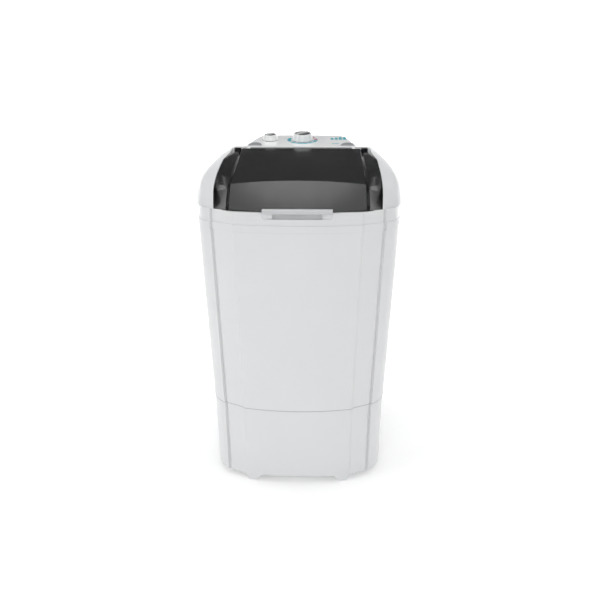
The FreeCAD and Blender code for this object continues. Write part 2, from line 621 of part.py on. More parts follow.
def build_top_frame():
    """Top frame: collar, front lip with finger recess, two arms and the bridge for the console."""
    low = v("cabinet_top")
    collar_top = low + v("collar_height")
    lip = v("lip_level")
    wall = v("shell_wall")
    sky = v("deck_top") + 200.0
    collar = shell_solid(plan_wire, [(low, 1.0, v("collar_proud")), (collar_top, 1.0, v("collar_proud"))])
    body = shell_solid(plan_wire, [(collar_top - 1, 1.0, 0.3), (lip + 2.0, 1.0, 0.0)])
    frame = collar.fuse([body, dome()])
    above_lip = [(-400.0, lip), (-v("lid_front") + 30.0, lip), (WING_OUTER[0][0], lip + 1.0)]
    above_lip += [(y, z - v("lid_thickness") - 0.8) for y, z in wing_line(WING_OUTER[1:])]
    under_hinge = v("hinge_level - knuckle_radius") - 6.0
    above_lip += [(v("hinge_along") - 8.0, under_hinge), (v("panel_front") - 0.5, under_hinge),
                  (v("panel_front") - 0.5, sky), (-400.0, sky)]
    frame = frame.cut(prism_x(above_lip, 400.0).common(lid_footprint(v("lid_clearance"), low, sky)))
    frame = frame.cut(box(-v("raised_half_width"), v("raised_half_width"), -400.0, -230.0, lip, sky))
    half = v("opening_half_width")
    rear = v("opening_rear")
    front = -v("body_front") + v("lip_depth")
    opening = [(-half, -222.0), (-half + 45, front + 26), (-half * 0.4, front + 3), (half * 0.4, front + 3),
               (half - 45, front + 26), (half, -222.0), (half, rear), (-half, rear)]
    frame = frame.cut(prism_z(opening, low - 5, sky))
    hollow_walls = [(x + math.copysign(wall, x), y + (wall if y > 0 else -wall)) for x, y in opening]
    solid_core = prism_z(hollow_walls, low - 5, sky)
    well = console_solid(wall - 3.0, v("well_floor") - wall, sky)
    under = shell_solid(inner_wire, [(low - 1.0, 1.0, wall), (lip - 2.0, 1.0, wall + 0.5)])
    hollow = under.fuse(dome(wall + 0.3).common(box(-400, 400, -400, 400, lip - 3, v("deck_top") - 4)))
    beam_foot = v("deck_top") - 34.0
    beam = box(-opening_side_beam(), opening_side_beam(), rear - 1.0, v("panel_front") + 6.0, beam_foot, sky)
    frame = frame.cut(hollow.cut(solid_core).cut(well).cut(beam))
    frame = frame.cut(console_solid(-3.0, v("well_floor"), sky))
    frame = frame.cut(panel_envelope())
    frame = frame.cut(lid_sheet(v("lid_clearance")))
    flange = v("tub_flange") + 1.0
    frame = frame.cut(Part.Face(rounded_wire(v("tub_half_width") + flange, v("tub_half_depth") + flange,
                                             v("tub_corner") + flange, low - 5.0, v("tub_along"))
                                ).extrude(Vec(0, 0, v("tub_rim") + 5.2 - low)))
    inner = v("ledge_across")
    ledge = [(inner, rear + 2), (inner, rear - 10), (inner + 45, rear - 24), (half - 22, rear - 62),
             (half + 1, rear - 112), (half + 1, rear + 2)]
    for side in (-1, 1):
        frame = frame.fuse(prism_z([(side * x, y) for x, y in ledge], v("tub_rim") + 0.2, v("ledge_level")))
    scoop = v("scoop_half_width")
    foot = v("scoop_foot")
    depth = v("scoop_depth")
    recess = prism_y([(-scoop, lip + 5), (-scoop, foot + 6), (-scoop + 6, foot), (scoop - 6, foot),
                      (scoop, foot + 6), (scoop, lip + 5)], -v("body_front") - 5, -v("body_front") + depth)
    frame = frame.cut(recess)
    axis_y = v("hinge_along")
    axis_z = v("hinge_level")
    for side in (-1, 1):
        inner_x = side * (v("hinge_half_width") + 1.0)
        outer_x = inner_x + side * v("ear_width")
        ear = cylinder(v("ear_radius"), Vec(inner_x, axis_y, axis_z), Vec(outer_x, axis_y, axis_z))
        low_x = min(inner_x, outer_x)
        stem = box(low_x, low_x + v("ear_width"), axis_y - v("ear_radius"), axis_y + v("ear_radius"),
                   beam_foot + 3.0, axis_z)
        frame = frame.fuse([ear, stem])
        bore = v("hinge_pin_radius + running_clearance")
        frame = frame.cut(cylinder(bore, Vec(inner_x - side * 2, axis_y, axis_z),
                                   Vec(outer_x + side * 2, axis_y, axis_z)))
    return max(frame.Solids, key=lambda solid: solid.Volume)


# ---------------------------------------------------------------- console
def panel_outline(margin):
    """Plan of the console panel on its own slope: x, y corners grown by a margin."""
    front = v("panel_front_half") + margin
    rear = v("panel_rear_half") + margin
    depth = v("panel_depth") + margin
    return front, rear, depth


def panel_wire(margin, level):
    """Outline of the panel: straight front, convex sides, bowed back."""
    front, rear, depth = panel_outline(margin)

    def point(x, y):
        return Vec(x, y, level)

    def chain(sign):
        curve = Part.BSplineCurve()
        curve.interpolate([point(sign * front, -margin), point(sign * (front - 5), depth * 0.22),
                           point(sign * (front - 17), depth * 0.52), point(sign * (front - 31), depth * 0.80),
                           point(sign * rear, depth * 0.96)])
        return curve.toShape()

    back = Part.Arc(point(rear, depth * 0.96), point(0, depth), point(-rear, depth * 0.96)).toShape()
    edges = [Part.makeLine(point(-front, -margin), point(front, -margin)), chain(1), back, chain(-1)]
    return Part.Wire(Part.__sortEdges__(edges))


def panel_placement():
    """Placement that takes the panel's own frame to the machine's frame."""
    tilt = FreeCAD.Rotation(Vec(1, 0, 0), v("panel_tilt"))
    return FreeCAD.Placement(Vec(0, v("panel_front"), v("panel_level")), tilt)


def on_panel(x, y, z):
    """Point of the panel's frame in the machine's frame."""
    return panel_placement().multVec(Vec(x, y, z))


def panel_prism(margin, low, high):
    """Prism over the panel outline, square to the panel."""
    solid = Part.Face(panel_wire(margin, low)).extrude(Vec(0, 0, high - low))
    solid.Placement = panel_placement()
    return solid


def panel_envelope():
    """Room the panel needs in the frame."""
    return panel_prism(0.5, -0.3, 60.0)


def console_solid(margin, low, high):
    """Upright prism over the panel outline, between two levels."""
    solid = Part.Face(panel_wire(margin, low)).extrude(Vec(0, 0, high - low))
    solid.Placement = FreeCAD.Placement(Vec(0, v("panel_front"), 0), FreeCAD.Rotation())
    slope_reach = v("panel_front") + v("panel_depth") * math.cos(math.radians(v("panel_tilt")))
    behind = min(v("body_rear") - 14.0, slope_reach - 5.0) + margin
    return solid.cut(box(-400, 400, behind, 400, low - 1, high + 1))


def build_console_panel():
    """Tilted cover with a rim all round, holes for both spindles and seats for the corner caps."""
    high = v("panel_height")
    skin = v("panel_skin")
    edge = 1.6
    slab = Part.Face(panel_wire(0.0, 0.0)).extrude(Vec(0, 0, high - edge))
    crown = Part.makeLoft([panel_wire(0.0, high - edge), panel_wire(-edge * 0.35, high - edge * 0.4),
                           panel_wire(-edge * 1.1, high)], True, True)
    slab = slab.fuse(crown)
    slab = slab.cut(Part.Face(panel_wire(-skin, -1.0)).extrude(Vec(0, 0, high - skin + 1.0)))
    for x in (v("dial_across"), v("picker_across")):
        slab = slab.cut(Part.makeCylinder(v("spindle_radius") + 0.4, 20, Vec(x, v("dial_along"), -5)))
    for side in (-1, 1):
        slab = slab.cut(cap_solid(side, v("hinge_cap_half"), high - 1.6, high + 3))
    slab.Placement = panel_placement()
    return slab


def cap_solid(side, half_width, low, high):
    """Half oval at a front corner of the panel, flat edge to the front."""
    middle = Vec(side * (v("panel_front_half") - 24.0 - v("hinge_cap_half") * 0.1), 4.0, low)
    ellipse = Part.Ellipse(middle, half_width, half_width * 0.62)
    arc = ellipse.toShape(0, math.pi)
    first = arc.valueAt(arc.FirstParameter)
    last = arc.valueAt(arc.LastParameter)
    face = Part.Face(Part.Wire([arc, Part.makeLine(last, first)]))
    return face.extrude(Vec(0, 0, high - low))


def build_hinge_cap(side):
    """Grey half oval cap that closes a corner of the panel."""
    high = v("panel_height")
    cap = cap_solid(side, v("hinge_cap_half") - 0.3, high - 1.6, high + 0.6)
    cap.Placement = panel_placement()
    return cap


def build_console_housing():
    """Open box under the panel that carries the timer and the selector switch."""
    floor = v("well_floor") + 0.5
    above = v("deck_top") + 50.0
    outer = console_solid(-4.0, floor, above)
    inner = console_solid(-6.5, floor + 2.5, above + 10.0)
    trim = panel_prism(40.0, v("panel_height - panel_skin") - 0.3, 90.0)
    return outer.cut(inner).cut(trim)


def build_control(half_x, half_y, height, across):
    """Case of a timer or a switch, hung square to the panel, with a bore for its spindle."""
    top = v("panel_height - panel_skin") - 3.0
    along = v("dial_along")
    case = box(across - half_x, across + half_x, along - half_y, along + half_y, top - height, top)
    neck = Part.makeCylinder(7.0, 3.0, Vec(across, along, top))
    case = case.fuse(neck)
    for side in (-1, 1):
        middle = across + side * half_x
        tab = box(middle - 5, middle + 5, along - 6, along + 6, top - 2, top + 3.0)
        case = case.fuse(tab)
    bore_radius = v("spindle_radius + running_clearance")
    case = case.cut(Part.makeCylinder(bore_radius, height, Vec(across, along, top - height + 6)))
    case.Placement = panel_placement()
    return case


# ---------------------------------------------------------------- lid
def thin_section(points, x, grow=0.0):
    """Closed wire of a bent sheet at one place across the lid, thicker by grow on both faces."""
    thick = v("lid_thickness") + grow
    points = list(points)
    for end, beside in ((0, 1), (-1, -2)):
        tip = Vec(0, *points[end])
        tip += (tip - Vec(0, *points[beside])).normalize() * grow
        points[end] = (tip.y, tip.z)
    upper = []
    lower = []
    for i, (y, z) in enumerate(points):
        before = points[max(i - 1, 0)]
        after = points[min(i + 1, len(points) - 1)]
        run = Vec(0, after[0] - before[0], after[1] - before[1]).normalize()
        upper.append((y - run.z * grow, z + run.y * grow))
        lower.append((y + run.z * thick, z - run.y * thick))
    ring = [Vec(x, y, z) for y, z in upper] + [Vec(x, y, z) for y, z in reversed(lower)]
    return Part.makePolygon(ring + ring[:1])


def lid_sheet(grow=0.0):
    """Bent sheet of the lid: raised middle, sloping flanks and lower wings."""
    edge = v("raised_half_width")
    half = v("lid_half_width") + grow
    outer = wing_line(WING_OUTER)
    inner = wing_line(WING_INNER)
    stations = [(-half, outer), (-edge - 10.0, inner)]
    stations += [(edge * i / 4.0, raised_profile(abs(i) / 4.0)) for i in range(-4, 5)]
    stations += [(edge + 10.0, inner), (half, outer)]
    return Part.makeLoft([thin_section(line, x, grow) for x, line in stations], True, True)


def raised_profile(side_share):
    """Top line of the raised middle; side_share 0 at the middle, 1 at its edge."""
    bow = side_share ** 2
    front = -v("lid_front") + (v("lid_front") - v("lid_front_side")) * bow
    crease = (v("crease_along") - 3.0 * bow, v("crease_level") - v("crease_drop") * bow)
    rear = (v("hinge_along"), v("hinge_level + knuckle_radius"))
    line = [(front, v("lip_level") + 2.2), crease]
    steps = len(WING_OUTER) - 2
    for i in range(1, steps + 1):
        line.append(tuple(start + (end - start) * i / steps for start, end in zip(crease, rear)))
    return line


def build_lid_panel():
    """Clear lid: raised middle, sloping flanks, lower wings and a rolled back edge."""
    pieces = [lid_sheet()]
    axis = (v("hinge_along"), v("hinge_level"))
    half = v("hinge_half_width")
    pieces.append(cylinder(v("knuckle_radius"), Vec(-half, *axis), Vec(half, *axis)))
    lid = pieces[0].fuse(pieces[1:])
    low = v("cabinet_top")
    high = v("deck_top") + 200.0
    rear_trim = box(-400, 400, v("hinge_along") - 7.0, 400, low, high)
    keep = box(-half, half, 0, 400, low, high)
    lid = lid.cut(rear_trim.cut(keep)).common(lid_footprint(0.0, low, high))
    round_back = box(-half, half, v("hinge_along"), 400, low, high).cut(
        cylinder(v("knuckle_radius"), Vec(-half - 1, *axis), Vec(half + 1, *axis)))
    lid = lid.cut(round_back)
    lid = lid.cut(box(-400, 400, -400, 400, 0, v("lip_level") + 0.4))
    for side in (-1, 1):
        deep = Vec(side * (half - 20), *axis)
        lid = lid.cut(cylinder(v("hinge_pin_radius"), deep, Vec(side * (half + 5), *axis)))
    return lid


def build_lid_handle(lid):
    """Grip bar along the front edge of the lid, shaped to sit against it."""
    half = v("handle_half_width")
    front = -v("handle_front")
    low = v("handle_level")
    high = low + v("handle_height")
    bar = box(-half, half, front, front + v("handle_depth"), low, high)
    long_edges = [e for e in bar.Edges if e.Length > half]
    bar = bar.makeFillet(2.2, long_edges)
    lip = box(-half, half, front, front + 4.0, low - 4.0, low + 3.0)
    return bar.fuse(lip).cut(lid)


# ---------------------------------------------------------------- tub
def rounded_wire(half_x, half_y, radius, level, along=0.0):
    """Rectangle with round corners."""
    edges = []
    corners = [(1, -1), (1, 1), (-1, 1), (-1, -1)]
    for i, (sx, sy) in enumerate(corners):
        centre = Vec(sx * (half_x - radius), along + sy * (half_y - radius), level)
        start_angle = math.radians(-90 + 90 * i)
        points = [centre + Vec(math.cos(start_angle + turn), math.sin(start_angle + turn), 0) * radius
                  for turn in (0, math.pi / 4, math.pi / 2)]
        edges.append(Part.Arc(*points).toShape())
    straights = []
    for i, arc in enumerate(edges):
        straights.append(Part.makeLine(arc.Vertexes[-1].Point, edges[(i + 1) % 4].Vertexes[0].Point))
    ring = []
    for arc, line in zip(edges, straights):
        ring += [arc, line]
    return Part.Wire(Part.__sortEdges__(ring))


def tub_inside():
    """Half width, half depth, corner radius and level of the tub's inside at the floor and the rim."""
    corner = v("tub_corner")
    foot = (v("tub_foot_half_width"), v("tub_foot_half_depth"), corner * 0.85, v("tub_floor + tub_wall") + 1)
    return [foot, (v("tub_half_width"), v("tub_half_depth"), corner, v("tub_rim") + 1)]


def tub_hollow():
    """Space inside the tub."""
    return Part.makeLoft([rounded_wire(*s, v("tub_along")) for s in tub_inside()], True, True)


def build_wash_tub():
    """Wash tub: tapered walls, flange, floor with bearing hole and drain hole."""
    wall = v("tub_wall")
    low = v("tub_floor")
    rim = v("tub_rim")
    along = v("tub_along")
    inside = tub_inside()
    outside = [(a + wall, b + wall, r + wall, z) for (a, b, r, _), z in zip(inside, (low, rim))]
    solid = Part.makeLoft([rounded_wire(*s, along) for s in outside], True, True)
    flange_wire = rounded_wire(v("tub_half_width + tub_flange"), v("tub_half_depth + tub_flange"),
                               v("tub_corner + tub_flange"), rim - wall, along)
    flange = Part.Face(flange_wire).extrude(Vec(0, 0, wall))
    solid = solid.fuse(flange)
    solid = solid.cut(tub_hollow())
    solid = solid.cut(Part.makeCylinder(v("housing_radius") - 6.0, 40, Vec(0, along, low - 20)))
    drain = Vec(v("drain_across"), along + v("drain_behind"), low - 20)
    solid = solid.cut(Part.makeCylinder(v("spigot_bore"), 40, drain))
    for x, y in tub_bolt_points():
        solid = solid.cut(Part.makeCylinder(2.6, 40, Vec(x, y, low - 20)))
    return solid


def tub_bolt_points():
    """Places (x, y) of the bearing housing bolts."""
    reach = v("housing_flange_radius") - 10.0
    return [(reach * math.cos(t), v("tub_along") + reach * math.sin(t)) for t in
            [math.pi / 4 + math.pi / 2 * i for i in range(4)]]


shaped("base_skirt", build_base_skirt())
shaped("cabinet_shell", build_cabinet_shell())
shaped("top_frame", build_top_frame())
shaped("console_panel", build_console_panel())
shaped("console_housing", build_console_housing())
shaped("hinge_cap_left", build_hinge_cap(-1))
shaped("hinge_cap_right", build_hinge_cap(1))
shaped("timer_unit", build_control(27.0, 24.0, 34.0, v("dial_across")))
shaped("selector_switch", build_control(16.0, 18.0, 24.0, v("picker_across")))
lid_part = shaped("lid_panel", build_lid_panel())
shaped("lid_handle", build_lid_handle(lid_part.Shape))
shaped("wash_tub", build_wash_tub())

for side_name, sign in (("left", -1), ("right", 1)):
    pin = turned("hinge_pin_" + side_name, [("0", "0"), ("hinge_pin_radius", "0"),
                                            ("hinge_pin_radius", "ear_width + 18"), ("0", "ear_width + 18")])
    place(pin, "%d * (hinge_half_width - 17)" % sign, "hinge_along", "hinge_level",
          FreeCAD.Rotation(Vec(0, 1, 0), 90 * sign))

# ---------------------------------------------------------------- rubber feet
pads = []
pad_top = v("pad_radius") - 0.3
for x in (-v("foot_across"), v("foot_across")):
    for y in (-v("pad_along"), v("pad_along_rear")):
        pads.append(Part.makeCone(pad_top - 1.2, pad_top, v("pad_height"), Vec(x, y, 0)))
shaped("rubber_feet", Part.makeCompound(pads))

# ---------------------------------------------------------------- knobs
tilt = FreeCAD.Rotation(Vec(1, 0, 0), v("panel_tilt"))


def place_on_panel(obj, across, rise):
    """Put an object on the panel at a knob axis, at a height above the panel's underside."""
    base = on_panel(v(across), v("dial_along"), v(rise))
    obj.Placement = FreeCAD.Placement(base, tilt)


def knob(label, across, foot, rim, height, cap):
    """Conical knob with a skirt, a bright rim, a seat for its cap and a bore for its spindle."""
    outline = [("spindle_radius", "0"), (foot + " - 3", "0"), (foot, "1"), (foot, "3.5"),
               (rim + " + 1.5", height + " - 4"), (rim, height), (cap + " + 0.15", height),
               (cap + " + 0.15", height + " - cap_sink"), ("spindle_radius", height + " - cap_sink")]
    body = turned(label, outline)
    place_on_panel(body, across, "panel_height + 0.5")


def knob_cap(label, across, height, cap):
    """Dark disc let into the top of a knob."""
    body = turned(label, [("0", "0"), (cap, "0"), (cap, "cap_sink - 0.5"), (cap + " - 1", "cap_sink"),
                          ("0", "cap_sink")])
    place_on_panel(body, across, "panel_height + 0.5 + %s - cap_sink" % height)


def pointer(label, across, height, cap, turn):
    """Light grip ridge that lies across a knob's cap."""
    body = new_body(label)
    pad = body.newObject("PartDesign::Pad", "pad")
    pad.Profile = polygon_sketch(body, "XY_Plane", [("-%s + 1" % cap, "-2.6"), ("%s - 1" % cap, "-2.6"),
                                                   ("%s - 1" % cap, "2.6"), ("-%s + 1" % cap, "2.6")])
    pad.Length = 4.0
    body.Tip = pad
    base = on_panel(v(across), v("dial_along"), v("panel_height + 0.5 + %s" % height))
    body.Placement = FreeCAD.Placement(base, tilt.multiply(FreeCAD.Rotation(Vec(0, 0, 1), turn)))


def spindle(label, across, height):
    """Knob spindle: from the control case up into the knob."""
    body = turned(label, [("0", "0"), ("spindle_radius", "0"), ("spindle_radius", height), ("0", height)])
    place_on_panel(body, across, "panel_height - panel_skin - 12")


knob("timer_knob", "dial_across", "dial_radius", "dial_top_radius", "dial_height", "dial_cap_radius")
knob_cap("timer_knob_cap", "dial_across", "dial_height", "dial_cap_radius")
pointer("timer_pointer", "dial_across", "dial_height", "dial_cap_radius", 40)
spindle("timer_spindle", "dial_across", "panel_skin + 12.5 + dial_height - cap_sink")
knob("selector_knob", "picker_across", "picker_radius", "picker_top_radius", "picker_height",
     "picker_cap_radius")
knob_cap("selector_knob_cap", "picker_across", "picker_height", "picker_cap_radius")
pointer("selector_pointer", "picker_across", "picker_height", "picker_cap_radius", 40)
spindle("selector_spindle", "picker_across", "panel_skin + 12.5 + picker_height - cap_sink")

# ---------------------------------------------------------------- impeller and shaft
disc_level = "tub_floor + tub_wall + 1 + disc_lift"
disc = turned("impeller", [
    ("shaft_radius", "0"), ("disc_radius", "0"), ("disc_radius + 2", "2.5"), ("disc_radius", "5"),
    ("disc_radius * 0.55", "8"), ("shaft_radius + 20", "disc_rise"), ("shaft_radius", "disc_rise")])
vane = disc.newObject("PartDesign::Pad", "vane")
vane.Profile = polygon_sketch(disc, "XY_Plane", [
    ("shaft_radius + 14", "-7"), ("disc_radius - 12", "-4"), ("disc_radius - 12", "4"),
    ("shaft_radius + 14", "7")])
vane.setExpression("Length", bind("vane_height"))
disc.Tip = vane
document.recompute()
spread = disc.newObject("PartDesign::PolarPattern", "vanes")
spread.Originals = [vane]
spread.Axis = (vane.Profile[0], ["N_Axis"])
spread.Angle = 360
spread.setExpression("Occurrences", bind("vane_count"))
disc.Tip = spread
place(disc, "0", "tub_along", disc_level)

shaft_top = "tub_floor + tub_wall + 1 + disc_lift + disc_rise"
shaft = turned("drive_shaft", [("0", "0"), ("shaft_radius - 3", "0"), ("shaft_radius - 3", "18"),
                               ("shaft_radius", "18"), ("shaft_radius", "%s - pulley_level + 27" % shaft_top),
                               ("0", "%s - pulley_level + 27" % shaft_top)])
place(shaft, "0", "tub_along", "pulley_level - 27")
screw = turned("impeller_screw", [("0", "0"), ("14", "0"), ("14", "2"), ("9", "5"), ("0", "5")])
place(screw, "0", "tub_along", shaft_top)

housing_top = "tub_floor"
housing = turned("bearing_housing", [
    ("shaft_radius + bush_wall", "-housing_length"), ("housing_radius", "-housing_length"),
    ("housing_radius", "-housing_flange - 6"), ("housing_radius + 6", "-housing_flange"),
    ("housing_flange_radius", "-housing_flange"), ("housing_flange_radius", "0"),
    ("housing_radius - 6.3", "0"), ("housing_radius - 6.3", "3"), ("shaft_radius + bush_wall", "3")])
drill(housing, ring_of(4, "housing_flange_radius - 10", "2.6"))
place(housing, "0", "tub_along", housing_top)
bush_levels = {"lower_bush": "tub_floor - housing_length", "upper_bush": "tub_floor - bush_length - 6"}
for name, level in bush_levels.items():
    bush = turned(name, [("shaft_radius + running_clearance", "0"), ("shaft_radius + bush_wall", "0"),
                         ("shaft_radius + bush_wall", "bush_length"),
                         ("shaft_radius + running_clearance", "bush_length")])
    place(bush, "0", "tub_along", level)
seal = turned("shaft_seal", [("shaft_radius + running_clearance", "0"), ("shaft_radius + bush_wall", "0"),
                             ("shaft_radius + bush_wall", "8"), ("shaft_radius + running_clearance", "8")])
place(seal, "0", "tub_along", "tub_floor - 6")
bolts = []
for x, y in tub_bolt_points():
    foot = Vec(x, y, v("tub_floor - housing_flange") - 4.0)
    head = Part.makeCylinder(5.0, 4.0, foot)
    stem = Part.makeCylinder(2.5, v("housing_flange + tub_wall") + 5.0, foot)
    cap = Part.makeCylinder(4.5, 3.0, Vec(x, y, v("tub_floor + tub_wall") + 1.0))
    bolts.append(head.fuse([stem, cap]))
shaped("housing_bolts", Part.makeCompound(bolts))


def grooved_pulley(label, rim, hub_bore, holes):
    """Pulley with a belt groove and, if asked for, five holes in its web."""
    deep = "belt_thickness + 2"
    groove = "%s - (%s)" % (rim, deep)
    outline = [(hub_bore, "-pulley_width / 2"), (rim, "-pulley_width / 2"),
               (rim, "-belt_width / 2 - belt_play"),
               (groove, "-belt_width / 2 - belt_play + 2"), (groove, "belt_width / 2 + belt_play - 2"),
               (rim, "belt_width / 2 + belt_play"), (rim, "pulley_width / 2"), (hub_bore, "pulley_width / 2")]
    body = turned(label, outline)
    if holes:
        drill(body, ring_of(5, "%s * 0.55" % rim, "%s * 0.2" % rim))
    return body


big_pulley = grooved_pulley("driven_pulley", "pulley_radius", "shaft_radius", True)
place(big_pulley, "0", "tub_along", "pulley_level")
small_pulley = grooved_pulley("motor_pulley", "motor_pulley_radius", "motor_shaft_radius", False)
place(small_pulley, "0", "motor_along", "pulley_level")
nut = turned("pulley_nut", [("shaft_radius - 3", "0"), ("nut_radius", "0"), ("nut_radius", "nut_height"),
                            ("shaft_radius - 3", "nut_height")])
place(nut, "0", "tub_along", "pulley_level - pulley_width / 2 - nut_height")


def belt_loop(outset, low, high):
    """Solid over a loop round both pulleys, grown by an outset from the groove floors."""
    big = v("pulley_radius - belt_thickness") - 2.0 + v("belt_play") + outset
    small = v("motor_pulley_radius - belt_thickness") - 2.0 + v("belt_play") + outset
    first = v("tub_along")
    second = v("motor_along")
    lean = math.asin((big - small) / (second - first))
    points = []
    for radius, middle in ((big, first), (small, second)):
        points.append((radius * math.cos(lean), middle + radius * math.sin(lean)))
    near, far = [Vec(x, y, low) for x, y in points]
    left_near, left_far = [Vec(-x, y, low) for x, y in points]
    edges = [Part.makeLine(near, far), Part.Arc(far, Vec(0, second + small, low), left_far).toShape(),
             Part.makeLine(left_far, left_near),
             Part.Arc(left_near, Vec(0, first - big, low), near).toShape()]
    return Part.Face(Part.Wire(Part.__sortEdges__(edges))).extrude(Vec(0, 0, high - low))


belt_low = v("pulley_level - belt_width / 2") + 2.0
belt_high = v("pulley_level + belt_width / 2") - 2.0
belt = belt_loop(v("belt_thickness"), belt_low, belt_high)
shaped("drive_belt", belt.cut(belt_loop(0.0, belt_low - 1, belt_high + 1)))

# ---------------------------------------------------------------- motor
stator = turned("motor_stator", [("rotor_radius + rotor_gap", "cap_height"), ("motor_radius", "cap_height"),
                                 ("motor_radius", "motor_height - cap_height"),
                                 ("rotor_radius + rotor_gap", "motor_height - cap_height")])
place(stator, "0", "motor_along", "motor_foot")
bore = "motor_shaft_radius + running_clearance"
lower_cap = turned("motor_lower_cap", [
    (bore, "0"), ("motor_radius", "0"), ("motor_radius", "cap_height"), ("motor_radius - 5", "cap_height"),
    ("motor_radius - 5", "6"), (bore, "6")])
place(lower_cap, "0", "motor_along", "motor_foot")
upper_cap = turned("motor_upper_cap", [
    ("motor_radius - 5", "0"), ("motor_radius", "0"), ("motor_radius", "cap_height - 8"),
    ("motor_radius - 8", "cap_height"), (bore, "cap_height"), (bore, "cap_height - 6"),
    ("motor_radius - 11", "cap_height - 6"), ("motor_radius - 5", "cap_height - 12")])
place(upper_cap, "0", "motor_along", "motor_foot + motor_height - cap_height")
rotor = turned("motor_rotor", [("motor_shaft_radius", "cap_height + 4"), ("rotor_radius", "cap_height + 4"),
                               ("rotor_radius", "motor_height - cap_height - 4"),
                               ("motor_shaft_radius", "motor_height - cap_height - 4")])
place(rotor, "0", "motor_along", "motor_foot")
spindle_top = "pulley_level + pulley_width / 2 + 4 - motor_foot"
axle = turned("motor_shaft", [("0", "1"), ("motor_shaft_radius", "1"), ("motor_shaft_radius", spindle_top),
                              ("0", spindle_top)])
place(axle, "0", "motor_along", "motor_foot")
bracket = plate("motor_bracket", rectangle("motor_radius + 12", "motor_radius - 4"), "bracket_thickness")
bolt_holes = [(x, y, "4.2") for x in ("-mount_across", "mount_across")
              for y in ("-mount_along", "mount_along")]
drill(bracket, bolt_holes + [("0", "0", "16")])
place(bracket, "0", "motor_along", "motor_foot - bracket_thickness")
boss_top = v("motor_foot - bracket_thickness - grommet_height")
sleeve = v("grommet_height")
grommets = []
studs = []
for x, y in mount_points():
    foot = Vec(x, y, boss_top)
    bush = Part.makeCylinder(v("grommet_radius"), sleeve, foot)
    grommets.append(bush.cut(Part.makeCylinder(4.0, sleeve, foot)))
    stud = Part.makeCylinder(3.9, v("bracket_thickness") + sleeve + 0.5, foot)
    head = Part.makeCylinder(4.0, 3.0, foot + Vec(0, 0, v("bracket_thickness") + sleeve))
    studs.append(stud.fuse(head))
shaped("motor_grommets", Part.makeCompound(grommets))
shaped("motor_bolts", Part.makeCompound(studs))

# ---------------------------------------------------------------- capacitor, cable, drain and back
deck_face = "deck_level + deck_thickness"
capacitor = turned("run_capacitor", [
    ("0", "0"), ("capacitor_radius - 1", "0"), ("capacitor_radius", "1.5"),
    ("capacitor_radius", "capacitor_height - 2"), ("capacitor_radius - 2", "capacitor_height"),
    ("0", "capacitor_height")])
place(capacitor, "capacitor_across", "capacitor_along", deck_face)
strap = turned("capacitor_strap", [("capacitor_radius + 0.05", "0"), ("capacitor_radius + 2", "0"),
                                   ("capacitor_radius + 2", "12"), ("capacitor_radius + 0.05", "12")])
place(strap, "capacitor_across", "capacitor_along", deck_face + " + 30")


def sweep_tube(points, radius, bore_radius=0.0):
    """Round tube: straight first and last runs with a smooth curve between them."""
    curve = Part.BSplineCurve()
    inner = points[1:-1]
    length = (inner[-1] - inner[0]).Length
    leave = (points[1] - points[0]).normalize()
    arrive = (points[-1] - points[-2]).normalize()
    curve.interpolate(Points=inner, InitialTangent=leave * length, FinalTangent=arrive * length)
    first_run = Part.makeLine(points[0], points[1])
    last_run = Part.makeLine(points[-2], points[-1])
    path = Part.Wire([first_run, curve.toShape(), last_run])
    tube = path.makePipeShell([Part.Wire([Part.Circle(points[0], leave, radius).toShape()])], True, True)
    if bore_radius:
        bore_ring = Part.Wire([Part.Circle(points[0], leave, bore_radius).toShape()])
        tube = tube.cut(path.makePipeShell([bore_ring], True, True))
    return tube


drain_x = v("drain_across")
drain_y = v("tub_along + drain_behind")
tub_low = v("tub_floor")
elbow = turned("drain_fitting", [("spigot_bore - 2.5", "-26"), ("spigot_bore", "-26"), ("spigot_bore", "-3"),
                                 ("spigot_bore + 9", "-3"), ("spigot_bore + 9", "0"),
                                 ("spigot_bore - 0.3", "0"),
                                 ("spigot_bore - 0.3", "tub_wall"), ("spigot_bore - 2.5", "tub_wall")])
place(elbow, "drain_across", "tub_along + drain_behind", "tub_floor")
back = v("body_rear")
hose = sweep_tube([Vec(drain_x, drain_y, tub_low - 4), Vec(drain_x, drain_y, tub_low - 34),
                   Vec(drain_x + 15, drain_y + 70, tub_low - 130), Vec(drain_x, back - 48, v("drain_level")),
                   Vec(drain_x, back - 21, v("drain_level"))], v("spigot_bore") + 3.0, v("spigot_bore") + 0.1)
shaped("drain_hose", hose)
spigot = turned("drain_spigot", [
    ("spigot_bore - 2.5", "-38"), ("spigot_bore", "-38"), ("spigot_bore", "-20"),
    ("spigot_radius + 6", "-20"),
    ("spigot_radius + 6", "-shell_wall - 0.3"), ("spigot_radius - 0.5", "-shell_wall - 0.3"),
    ("spigot_radius - 0.5", "0.4"), ("spigot_radius", "0.4"), ("spigot_radius", "spigot_reach"),
    ("spigot_radius - 3", "spigot_reach"), ("spigot_bore - 2.5", "spigot_reach - 3")])
place(spigot, "drain_across", "body_rear", "drain_level", FreeCAD.Rotation(Vec(1, 0, 0), -90))
gland = turned("cable_gland", [("gland_bore", "-12"), ("10", "-12"), ("10", "0"), ("14", "0"), ("14", "5"),
                               ("8", "12"), ("gland_bore", "12")])
place(gland, "gland_across", "body_rear + 0.2", "gland_level", FreeCAD.Rotation(Vec(1, 0, 0), -90))
gland_x = v("gland_across")
gland_z = v("gland_level")
cable = sweep_tube([Vec(gland_x, back - 13, gland_z), Vec(gland_x, back - 35, gland_z),
                    Vec(gland_x + 15, back - 62, gland_z - 20), Vec(-80, v("motor_along") + 25, 116),
                    Vec(-60, v("motor_along") + 5, 110)], v("cable_radius"))
motor_room = Part.makeCylinder(v("motor_radius") + 0.2, 200, Vec(0, v("motor_along"), 40))
shaped("inner_cable", cable.cut(motor_room))

